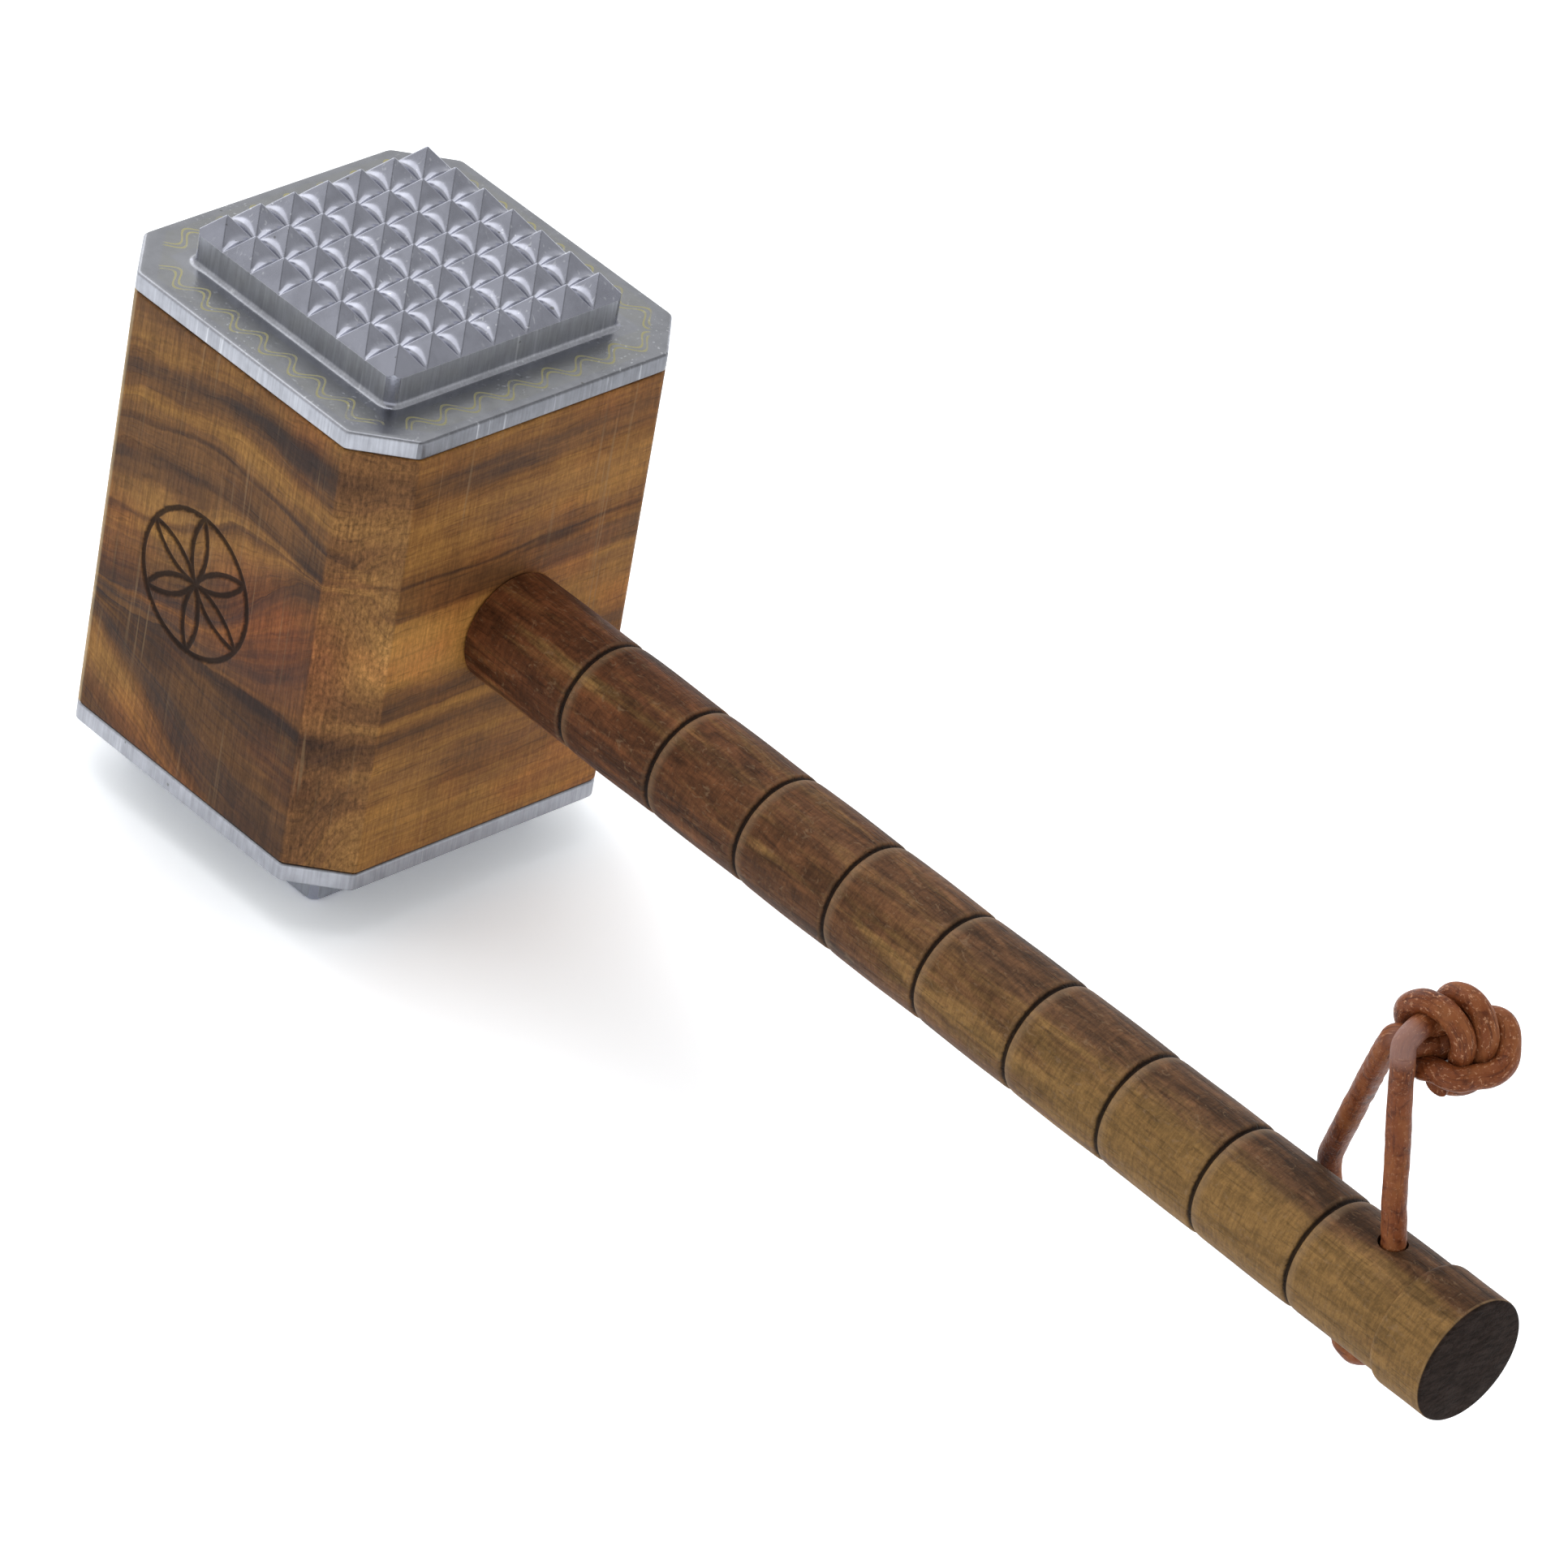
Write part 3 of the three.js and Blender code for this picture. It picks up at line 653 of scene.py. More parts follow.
def spread(paths, gap, rounds, held_points=12, push_share=0.35, even_share=0.3):
    """Moves the paths' points apart where two strands lie closer than the gap, a share of the lack at a
    time, and evens the paths out in each round. Points near each other along one path don't push each
    other. The paths' ends stay where they are, and the points next to them move less."""
    points = np.concatenate(paths)
    owner = np.concatenate([np.full(len(path), number) for number, path in enumerate(paths)])
    place = np.concatenate([travelled(path) for path in paths])
    near = (owner[:, None] == owner) & (np.abs(place[:, None] - place) < 2 * gap)
    held = np.concatenate([np.minimum(np.arange(len(path)), np.arange(len(path))[::-1]) for path in paths])
    hold = np.clip(held / held_points, 0, 1)[:, None]
    inner = (owner[2:] == owner[:-2])[:, None]
    for _ in range(rounds):
        apart = points[:, None] - points
        distance = np.linalg.norm(apart, axis=-1) + np.eye(len(points))
        lack = np.where(near, 0, np.clip(gap - distance, 0, gap))
        closest = lack.max(axis=1, keepdims=True)
        push = np.where((lack > 0) & (lack > 0.8 * closest), lack / distance, 0)
        weight = np.maximum((push > 0).sum(axis=1, keepdims=True), 1)
        points = points + hold * push_share * (apart * push[..., None]).sum(axis=1) / weight
        evened = (points[2:] + points[:-2]) / 2 - points[1:-1]
        points[1:-1] += np.where(inner, even_share * hold[1:-1] * evened, 0)
    cuts = np.cumsum([len(path) for path in paths])[:-1]
    return np.split(points, cuts)


def add_straight(obj, straight):
    """Keeps each point's place on the straightened strand, which the leather's pattern follows."""
    attribute = obj.data.attributes.new("straight", "FLOAT_VECTOR", "POINT")
    attribute.data.foreach_set("vector", straight.astype(np.float32).ravel())


# Materials

class Value:
    """A number, vector or colour that changes over a surface. Plain arithmetic on it adds Math nodes."""

    def __init__(self, nodes, socket):
        self.nodes, self.socket = nodes, socket

    def math(self, operation, *others):
        return self.nodes.math(operation, self, *others)

    __add__ = partialmethod(math, "ADD")
    __sub__ = partialmethod(math, "SUBTRACT")
    __mul__ = partialmethod(math, "MULTIPLY")
    __truediv__ = partialmethod(math, "DIVIDE")
    __gt__ = partialmethod(math, "GREATER_THAN")
    __lt__ = partialmethod(math, "LESS_THAN")
    __abs__ = partialmethod(math, "ABSOLUTE")
    smaller = partialmethod(math, "MINIMUM")
    larger = partialmethod(math, "MAXIMUM")

    def __rsub__(self, other):
        return self.nodes.math("SUBTRACT", other, self)

    def varied(self, pattern, amount):
        """Raised and lowered by a pattern that is a half on average."""
        return (pattern - 0.5) * amount + self

    def between(self, low, high, to_low=0.0, to_high=1.0):
        """Goes smoothly from one number to the other as the value goes from low to high."""
        inputs = dict(enumerate((self, low, high, to_low, to_high)))
        return self.nodes.add("ShaderNodeMapRange", inputs, 0, interpolation_type="SMOOTHSTEP")

    def stretch(self, scale, place=(0, 0, 0)):
        return self.nodes.add("ShaderNodeMapping", {"Vector": self, "Scale": scale, "Location": place})

    def noise(self, scale, detail=3, roughness=0.5, distortion=0, place=(0, 0, 0)):
        """Noise over this vector. A scale of three numbers stretches it, from the place."""
        vector = self
        if not isinstance(scale, (int, float)):
            vector, scale = self.stretch(scale, place), 1
        return self.nodes.add("ShaderNodeTexNoise", {
            "Vector": vector, "Scale": scale, "Detail": detail,
            "Roughness": roughness, "Distortion": distortion})

    def axes(self):
        return list(self.nodes.add("ShaderNodeSeparateXYZ", {"Vector": self}, None).values())

    def ramp(self, stops, interpolation="EASE"):
        """A colour or a grey tone by the value, from pairs of a place and a tone."""
        made = self.nodes.add("ShaderNodeValToRGB", {"Fac": self})
        band = made.socket.node.color_ramp
        band.interpolation = interpolation
        band.elements.remove(band.elements[1])
        band.elements[0].position, band.elements[0].color = stops[0][0], colour(stops[0][1])
        for place, given in stops[1:]:
            band.elements.new(place).color = colour(given)
        return made

    def tint(self, shade):
        """This colour times another, or times a level."""
        if isinstance(shade, Value) and shade.socket.type == "VALUE":
            shade = self.nodes.vector(shade, shade, shade)
        return self.nodes.mix(1, self, shade, "MULTIPLY")


class Nodes:
    """Adds nodes to a tree. A value given as an input is joined, and a number or colour is set."""

    def __init__(self, tree):
        self.tree = tree

    def feed(self, socket, given):
        if isinstance(given, Value):
            self.tree.links.new(given.socket, socket)
        else:
            socket.default_value = given

    def add(self, kind, inputs, output=0, **settings):
        """A node with its settings and inputs. Gives the output asked for, or all by name for None."""
        made = self.tree.nodes.new(kind)
        for name, setting in settings.items():
            setattr(made, name, setting)
        for name, given in inputs.items():
            self.feed(made.inputs[name], given)
        if output is None:
            return {socket.name: Value(self, socket) for socket in made.outputs}
        return Value(self, made.outputs[output])

    def math(self, operation, *given):
        return self.add("ShaderNodeMath", dict(enumerate(given)), operation=operation)

    def mix(self, share, first, second, blend="MIX"):
        """A colour between two others, by the share."""
        inputs = {0: share, 6: colour(first), 7: colour(second)}
        return self.add("ShaderNodeMix", inputs, 2, data_type="RGBA", blend_type=blend)

    def blend(self, share, first, second):
        """A number between two others, by the share."""
        return self.add("ShaderNodeMix", {0: share, 2: first, 3: second}, data_type="FLOAT")

    def vector(self, x, y, z):
        return self.add("ShaderNodeCombineXYZ", {"X": x, "Y": y, "Z": z})

    def group(self, group, vector):
        """The outputs of a shared group, in its order."""
        return self.add("ShaderNodeGroup", {"Vector": vector}, None, node_tree=group).values()


def colour(given):
    """A grey level or three numbers as red, green, blue and alpha."""
    if isinstance(given, Value):
        return given
    if isinstance(given, (int, float)):
        return (given, given, given, 1)
    return (*tuple(given)[:3], 1)


def shared_group(name, outputs, build):
    """A shader node group from a vector to the named numbers, built once."""
    found = bpy.data.node_groups.get(name)
    if found:
        return found
    group = bpy.data.node_groups.new(name, "ShaderNodeTree")
    group.interface.new_socket("Vector", in_out="INPUT", socket_type="NodeSocketVector")
    for label in outputs:
        group.interface.new_socket(label, in_out="OUTPUT", socket_type="NodeSocketFloat")
    nodes = Nodes(group)
    results = build(nodes.add("NodeGroupInput", {}))
    nodes.add("NodeGroupOutput", dict(zip(outputs, results)), None)
    return group


def fibre_group():
    """Wood fibres that run along the X of the vector given: streaks, fine fibres and short dark pores."""
    def build(vector):
        streaks = vector.noise((8, 210, 210), 4, 0.62, 0.25)
        fine = vector.noise((60, 1500, 1500), 2, 0.6)
        specks = vector.noise((190, 2300, 2300), 1, 0.4, place=(3, 7, 1))
        return streaks, fine, specks.between(0.60, 0.72)

    return shared_group("Wood fibre", ("Streaks", "Fine", "Pores"), build)


def scratch_group():
    """Sanding marks along the Z of the vector given: fine lines everywhere, paler or darker than the
    surface, and in some patches a few thin scratches."""
    def build(vector):
        fine = vector.noise((2600, 2600, 150), 2, 0.6, 0.1)
        lines = vector.noise((1500, 1500, 45), 1, 0.5, 0.2, (4, 1, 2))
        patches = vector.noise((75, 75, 50), 2, 0.5, 0, (5, 2, 9))
        return fine, lines.between(0.62, 0.74) * patches.between(0.42, 0.66)

    return shared_group("Sanding marks", ("Sanding", "Scratches"), build)


def new_material(name):
    """A material with its nodes, its Principled shader's sockets and the Object coordinates."""
    material = bpy.data.materials.new(name)
    material.use_nodes = True
    nodes = Nodes(material.node_tree)
    shader = material.node_tree.nodes["Principled BSDF"].inputs
    return material, nodes, shader, nodes.add("ShaderNodeTexCoord", {}, "Object")


def finish_surface(nodes, shader, base, rough, relief, depth, strength=1):
    """Feeds the colour, the roughness and the relief, where a relief of one is the depth in metres."""
    nodes.feed(shader["Base Color"], base)
    nodes.feed(shader["Roughness"], rough)
    raised = nodes.add("ShaderNodeBump", {"Height": relief, "Distance": depth, "Strength": strength})
    nodes.feed(shader["Normal"], raised)


def figure_height(nodes, share, heights):
    """Height of one growth line over the front side's width. The line passes smoothly through the given
    heights, in millimetres, at the places of figure_places."""
    made = nodes.add("ShaderNodeFloatCurve", {"Value": share})
    mapping = made.socket.node.mapping
    curve = mapping.curves[0]
    first, last = figure_places[0], figure_places[-1]
    places = [(place - first) / (last - first) for place in figure_places]
    curve.points[0].location = (places[0], heights[0] / figure_reach)
    curve.points[1].location = (places[-1], heights[-1] / figure_reach)
    for place, height in zip(places[1:-1], heights[1:-1]):
        curve.points.new(place, height / figure_reach)
    mapping.update()
    return made * figure_top


def front_figure(nodes, x, z):
    """The front side's figure. Growth lines are stacked from the bottom to the top, and a point's number
    is the line under it plus its share of the way to the next. Gives that number as a share of the whole,
    and the distance across the lines in metres."""
    share = (x + block_half) / (2 * block_half)
    lines = [figure_height(nodes, share, heights) for heights, gap in figure_lines]
    gaps = [gap for heights, gap in figure_lines] + [top_gap]
    number, across = 0.0, 0.0
    for below, above, gap in zip([0.0, *lines], [*lines, figure_top], gaps):
        inputs = dict(enumerate((z, below, above, 0.0, 1.0)))
        passed = nodes.add("ShaderNodeMapRange", inputs)
        number, across = passed + number, passed * (gap * MM) + across
    return number / len(gaps), across


def patches_of_tone(nodes, across, height, patches):
    """The sum of soft oval patches, each with its tone at its middle."""
    total = 0.0
    place = nodes.vector(across, height, 0.0)
    for middle, up, half_width, half_height, tone in patches:
        scale = (1 / (half_width * MM), 1 / (half_height * MM), 1)
        oval = place.stretch(scale, (-middle / half_width, -up / half_height, 0))
        reach = nodes.add("ShaderNodeVectorMath", {0: oval}, "Value", operation="LENGTH")
        total = reach.between(1.3, 0.2) * tone + total
    return total


def block_material(settings):
    """Dark oiled hardwood. The front side shows growth lines that arch over an eye, and the other sides
    level bands. Fibres follow the lines, sanding marks run upright, and the chamfers are rubbed."""
    material, nodes, shader, place = new_material("Head wood")
    x, y, z = place.axes()
    front = y.between(-12 * MM, -27 * MM) * x.between(31 * MM, 24 * MM)
    slant = 2 * block_half - block_chamfer
    chamfer = (abs(x) + abs(y)).between(slant - 0.5 * MM, slant - 0.1 * MM)

    # The growth lines and bands, lifted and lowered a little
    sway = place.noise((34, 30, 60), 3, 0.55, 0.4, (2, 5, 1))
    ripple = place.noise((110, 110, 420), 3, 0.6, 0.3, (1, 1, 4))
    lift = (sway - 0.5) * (5 * MM) + (ripple - 0.5) * (1.8 * MM)
    height = lift * front.between(0, 1, 0.45, 1.0) + z
    number, across = front_figure(nodes, x, height)
    front_tone = number.ramp(front_tones, "LINEAR") + patches_of_tone(nodes, x, height, front_patches)
    level = (height - block_low.z) / (block_high.z - block_low.z)
    level_tone = level.ramp(level_tones, "LINEAR") + patches_of_tone(nodes, y, height, side_patches)
    tone = nodes.blend(front, level_tone, front_tone)

    # Fibres and soft patches in the tone, and the chamfers' tone lifted paler as painted light
    lay = nodes.vector(y * 0.83 + x, nodes.blend(front, height, across), 0.0)
    streaks, fine, pores = nodes.group(fibre_group(), lay)
    sanding, scratches = nodes.group(scratch_group(), place)
    patchy = place.noise((90, 90, 120), 3, 0.6, 0.5, (3, 8, 2))
    tone = tone.varied(streaks, 0.8).varied(fine, 0.45).varied(patchy, 0.5)
    bands = patches_of_tone(nodes, 0.0, height, chamfer_patches)
    # The chamfers' tone is evened and lifted paler: painted light, over their own bands
    tone = nodes.blend(chamfer, tone, tone * 0.6 + 0.32 + bands)
    base = tone.ramp([
        (0.02, settings.black), (0.24, settings.dark), (0.52, settings.brown), (0.88, settings.golden),
        (1.0, [min(1, part * 1.22) for part in settings.golden])], "LINEAR")

    # Redder places, and painted light and shade by the way each side faces
    red = place.noise((50, 50, 70), 3, 0.5, 0, (8, 3, 6))
    reddened = red.between(0.46, 0.72, 0, 0.5) + front * patches_of_tone(nodes, x, height, red_patches)
    warm = nodes.mix(reddened, base, base.tint((1.18, 0.84, 0.86)))
    # Painted light and shade: the front warmer and paler, the other sides darker and cooler, the chamfers
    # bluer
    shade = nodes.mix(front, (1.04, 1.0, 0.94), (0.82, 0.825, 0.86))
    side_shaded = warm.tint(nodes.mix(chamfer, shade, (0.94, 0.96, 1.12)))

    # Pores, sanding, flecks and scratches
    pored = nodes.mix(pores * 0.4, side_shaded, side_shaded.tint(0.42))
    rubbing = nodes.blend(front.between(0, 1, 0.4, 0), sanding.between(0.22, 0.78, 0.72, 1.32), 1.0)
    flecked = place.noise((1900, 1900, 1100), 2, 0.7)
    fleck = (flecked - 0.5) * chamfer.between(0, 1, 0.9, 2.0) + 1.0
    grained = pored.tint(rubbing).tint(fleck)
    scratched = nodes.mix(scratches * 0.30, grained, (0.42, 0.27, 0.14))

    # A pale cream strip on one chamfer, and the burnt rosette
    pale_strip = (x + y).between(-slant + 0.9 * MM, -slant + 0.3 * MM, 0, 0.75)
    streaky = streaks.between(0.25, 0.75, 0.72, 1.10)
    pale = nodes.mix(1, (0.62, 0.46, 0.27), nodes.vector(streaky, streaky, streaky), "MULTIPLY")
    edged = nodes.mix(pale_strip, scratched, pale.tint(rubbing))
    burnt = rosette_mask(nodes, x, y, z)
    char = nodes.mix(burnt * 0.88, edged, (0.020, 0.012, 0.009))
    rough = streaks.between(0.2, 0.8, 0.5, 0.68) + burnt * 0.2
    shader["Specular IOR Level"].default_value = 0.17
    relief = fine + sanding - pores * 0.8
    finish_surface(nodes, shader, char, rough, relief, 0.05 * MM, 0.6)
    return material


def rosette_mask(nodes, x, y, z):
    """The burnt lines of the rosette on the front side, as in rosette_distance, with soft uneven edges."""
    across, up = x - rosette_middle[0], z - rosette_middle[1]

    def from_point(centre_x, centre_z):
        dx, dz = across - centre_x, up - centre_z
        return (dx * dx + dz * dz).math("SQRT")

    from_middle = from_point(0, 0)
    petals, *others = [abs(from_point(*centre) - rosette_radius) for centre in petal_centres]
    for arc in others:
        petals = petals.smaller(arc)
    inner = petals + (from_middle > rosette_radius)
    nearest = abs(from_middle - rosette_radius).smaller(inner)
    uneven = nodes.vector(x, 0.0, z).noise(900, 3, 0.6)
    line = nearest.varied(uneven, 0.5 * MM).between(0.62 * MM, 0.28 * MM)
    return line * (y < -(block_half - 0.5 * MM))


def handle_material(settings):
    """Turned hardwood: fibres along X, reddish beside the head, olive brown on the front near the end and
    darker on top, with dark burnt grooves, rubbed shoulders and a charred end face."""
    material, nodes, shader, place = new_material("Handle wood")
    x, y, z = place.axes()
    up = z - axis_height
    streaks, fine, pores = nodes.group(fibre_group(), nodes.vector(x, y, up))
    drift = place.noise((11, 210, 210), 4, 0.6, 0.4, (1, 1, 3))
    blotch = place.noise((60, 260, 260), 5, 0.68, 0.7, (4, 4, 1))
    dapple = place.noise((80, 430, 430), 4, 0.62, 0.8, (7, 2, 5))
    strokes = place.noise((1700, 330, 330), 3, 0.7, 0.5, (2, 1, 7))

    # Golden on the front near the end, darker on top, and blotched
    front = (y * -0.97 + up * -0.24) / (9 * MM)
    golden = x.between(88 * MM, 190 * MM) * front.between(-0.15, 0.6)
    shadowed = x.between(95 * MM, 170 * MM, 0.3, 1.0) * front.between(0.1, -0.55)
    tone = golden * 0.80 + (shadowed * -0.30 + 0.22)
    tone = tone.varied(drift, 1.7).varied(blotch, 1.6).varied(streaks, 0.9)
    body = nodes.mix(x.between(block_half, 150 * MM), settings.near_head, settings.middle)
    lower = nodes.mix(tone.between(-0.25, 0.3), body.tint(0.52), body)
    mixed = nodes.mix(tone.between(0.2, 0.98), lower, settings.near_end)

    # Fibres, pores, dapples, flecks and dusty specks
    fibred = mixed.tint(fine.between(0.25, 0.75, 0.92, 1.08))
    pored = nodes.mix(pores * 0.28, fibred, fibred.tint(0.35))
    darkest, palest = nodes.blend(golden, 0.58, 0.80), nodes.blend(golden, 1.46, 1.16)
    dappled = pored.tint(dapple.between(0.32, 0.68, darkest, palest))
    rubbed_fibres = place.noise((1300, 1300, 1300), 3, 0.75, 1.4)
    flecked = dappled.tint(nodes.blend(0.55, rubbed_fibres, strokes).between(0.34, 0.66, 0.72, 1.30))
    specks = place.noise((560, 900, 900), 3, 0.65, 1.2)
    dusty = nodes.mix(specks.between(0.56, 0.72, 0, 0.42), flecked, (0.30, 0.19, 0.105))

    # The burnt grooves: distance along X from the nearest one, with uneven edges and pale shoulders
    phase = (x - (block_half + groove_from_block)) / groove_pitch
    nearest = phase.math("ROUND")
    offset = (phase - nearest) * groove_pitch
    jagged = (specks - 0.5) * (0.7 * MM) + (blotch - 0.5) * (0.5 * MM)
    in_run = (nearest > -0.5) * (nearest < groove_count - 0.5)
    edge = offset + jagged
    shoulder = edge.between(0.32 * MM, 0.55 * MM) * edge.between(2.4 * MM, 0.8 * MM)
    near_edge = edge.between(-0.32 * MM, -0.5 * MM) * edge.between(-1.1 * MM, -0.6 * MM)
    edges = near_edge * 0.35 + shoulder
    rubbed = nodes.mix(edges * in_run * 0.36, dusty, (0.34, 0.225, 0.13))
    burn = abs(jagged * 0.32 + offset).between(0.46 * MM, 0.22 * MM) * in_run
    grooved = nodes.mix(burn * 0.92, rubbed, (0.016, 0.010, 0.007))

    # The charred end face, and a painted highlight on its eased rim
    end_face = x.between(handle_end - 0.42 * MM, handle_end - 0.2 * MM)
    grain = place.noise((1, 420, 1500), 4, 0.75, 0.3)
    charred = grain.ramp([(0.3, (0.016, 0.011, 0.009)), (0.72, (0.046, 0.032, 0.027))])
    ended = nodes.mix(end_face, grooved, charred)
    # The pale band on the end's eased rim is a painted highlight, uneven in strength
    rim = (x.between(handle_end - 0.75 * MM, handle_end - 0.5 * MM)
           * x.between(handle_end - 0.25 * MM, handle_end - 0.4 * MM))
    rim_lit = nodes.mix(rim * blotch.between(0.3, 0.6, 0.1, 0.5), ended, (0.34, 0.22, 0.11))
    nodes.feed(shader["Specular IOR Level"], end_face.between(0, 1, 0.13, 0.02))
    rough = streaks.between(0.2, 0.8, 0.48, 0.66)
    relief = fine + strokes * 0.8 - pores * 0.9
    finish_surface(nodes, shader, rim_lit, rough, relief, 0.1 * MM, 0.9)
    return material


def plate_material(settings):
    """Cast aluminium: softly mottled, brushed upright on its rims, with a faint double wave line round the
    flange's face and a few dark pits."""
    material, nodes, shader, place = new_material("Cast aluminium")
    x, y, z = place.axes()
    flat_x, flat_y = abs(x), abs(y)
    across = flat_x.larger(flat_y)
    x_side = flat_x > flat_y
    normal = nodes.add("ShaderNodeNewGeometry", {}, "True Normal")
    facing = abs(normal.axes()[2]) > 0.9

    # The wave line and its echo, on the flange's flat face and not on its corners
    along = y * x_side + x * (1 - x_side)
    wave = (along * (2 * math.pi / wave_pitch)).math("SINE") * wave_height
    off_line, off_echo = (abs(across - (wave + middle)) for middle in wave_middles)
    worn = place.noise((300, 300, 300), 3, 0.6)
    line = off_line.smaller(off_echo).between(0.30 * MM, 0.10 * MM) * worn.between(0.30, 0.52, 0.25, 1.0)
    band = across.between(23.9 * MM, 24.4 * MM) * across.between(29.7 * MM, 29.2 * MM)
    ring = band * (flat_x + flat_y).between(50.5 * MM, 49.5 * MM) * facing
    ornament = line * ring

    # The metal: mottled, a little yellower on its faces, stained under the wave line, and pitted
    mottle = place.noise(260, 4, 0.6)
    duller = nodes.mix(1, settings.aluminium, 0.84, "MULTIPLY")
    metal = nodes.mix(mottle.between(0.35, 0.7), settings.aluminium, duller)
    on_face = facing * (across > field_half)
    metal = nodes.mix(on_face, metal, metal.tint((0.86, 0.86, 0.80)))
    stain = ring * worn.between(0.3, 0.7, 0.5, 1.0) * 0.30
    stained = nodes.mix(stain, metal, (0.30, 0.30, 0.25))
    lined = nodes.mix(ornament * 0.8, stained, settings.ornament)
    pits = place.noise(780, 1, 0.4).between(0.77, 0.81)
    pitted = nodes.mix(pits * 0.6, lined, (0.10, 0.10, 0.09))

    # The brushed rims, with painted shade on the sides across the handle, most of all on the upper plate
    sanding, scratches = nodes.group(scratch_group(), place)
    on_side = (1 - facing) * (across > field_half - 0.05 * MM)
    brushed = nodes.mix(on_side, pitted, pitted.tint(sanding.between(0.25, 0.75, 0.98, 1.24)))
    yellowed = nodes.mix(on_side, brushed, brushed.tint((0.94, 0.94, 0.89)))
    # Painted shade: the rims facing along the handle's axis are darkened, more towards the upper plate
    shaded_rim = x_side * on_side * (across > block_half - 0.5 * MM)
    with_painted_light = nodes.mix(shaded_rim * z.between(40 * MM, 60 * MM, 0.14, 0.46), yellowed, 0.0)
    scratched = nodes.mix(scratches * 0.4, with_painted_light, (0.72, 0.74, 0.78))

    shader["Metallic"].default_value = 1
    rough = ornament * 0.2 + (on_side * 0.14 + ((mottle - 0.5) * 0.16 + settings.roughness))
    relief = mottle * 0.65 + place.noise(2600, 2, 0.6) * 0.35 - scratches * 0.4
    finish_surface(nodes, shader, scratched, rough, relief, 0.05 * MM, 0.5)
    return material


def dowel_material():
    """Plain pale dowel wood with fibres along Z."""
    material, nodes, shader, place = new_material("Dowel wood")
    x, y, z = place.axes()
    streaks, fine, pores = nodes.group(fibre_group(), nodes.vector(z, x, y))
    base = streaks.ramp([(0.3, (0.42, 0.27, 0.13)), (0.7, (0.58, 0.40, 0.22))])
    pored = nodes.mix(pores * 0.5, base, (0.24, 0.14, 0.07))
    finish_surface(nodes, shader, pored, 0.7, fine, 0.05 * MM)
    return material


def leather_material(settings):
    """Round leather lace: creased across, rubbed pale in patches, rough and speckled, with short cracks
    along it, and a painted pale highlight where the front leg bends into the knot."""
    material, nodes, shader, place = new_material("Thong leather")
    straight = nodes.add("ShaderNodeAttribute", {}, "Vector", attribute_name="straight")
    patches = straight.noise((150, 380, 380), 3, 0.6)
    creases = straight.noise((800, 500, 500), 3, 0.65, 0.6)
    cracks = straight.noise((260, 1900, 1900), 2, 0.6, 0.4)
    fuzz = straight.noise((1700, 2300, 2300), 3, 0.7)
    dark = nodes.mix(1, settings.leather, (0.46, 0.38, 0.36), "MULTIPLY")
    base = nodes.mix(creases.between(0.30, 0.55), dark, settings.leather)
    rubbed = nodes.mix(patches.between(0.46, 0.68, 0, 0.6), base, settings.worn)
    cracked = nodes.mix(cracks.between(0.55, 0.68, 0, 0.7), rubbed, (0.085, 0.020, 0.008))

    def near(middle, far, close, most):
        """The most that is asked within the close distance of a place, and zero past the far one."""
        inputs = {0: place, 1: tuple(thong_hole + np.array(middle) * MM)}
        away = nodes.add("ShaderNodeVectorMath", inputs, "Value", operation="DISTANCE")
        return away.between(far * MM, close * MM, 0, most)

    flecks = fuzz.between(0.56, 0.67) * (near(knot_middle, 12, 8, 0.42) + 0.34)
    fuzzy = nodes.mix(flecks, cracked, (0.62, 0.31, 0.17))
    # A painted highlight: pale grey-pink where the front leg bends into the knot
    with_painted_light = nodes.mix(near(bend_highlight, 4.6, 1.8, 0.72), fuzzy, (0.36, 0.21, 0.18))
    shader["Specular IOR Level"].default_value = 0.2
    relief = creases * 0.7 + fuzz * 0.6 - cracks * 0.4
    finish_surface(nodes, shader, with_painted_light, patches.between(0.3, 0.7, 0.36, 0.58), relief, 0.2 * MM)
    return material


def dress(obj, material, slot, *nodes):
    """Gives a finished piece its material, ties it to the body and hides the nodes it replaces; the slot is
    not used.
    """
    obj.data.materials.clear()
    obj.data.materials.append(material)
    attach(obj, BODY)
    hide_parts(*nodes)


# Operators

class MALLET_OT_camera(bpy.types.Operator):
    """Place the camera as the photograph has it"""
    bl_idname = "mallet.camera"
    bl_label = "Camera"

    def execute(self, context):
        data = bpy.data.cameras.new("camera")
        data.sensor_width = sensor_width
        data.lens = focal_pixels * sensor_width / image_width
        data.clip_start, data.clip_end = 0.01, 50
        camera = bpy.data.objects.new("camera", data)
        context.scene.collection.objects.link(camera)
        right, up = Vector(camera_right), Vector(camera_up)
        turn = Matrix((right, up, right.cross(up))).transposed()
        camera.matrix_world = Matrix.Translation(camera_place) @ turn.to_4x4()
        context.scene.camera = camera
        return {"FINISHED"}


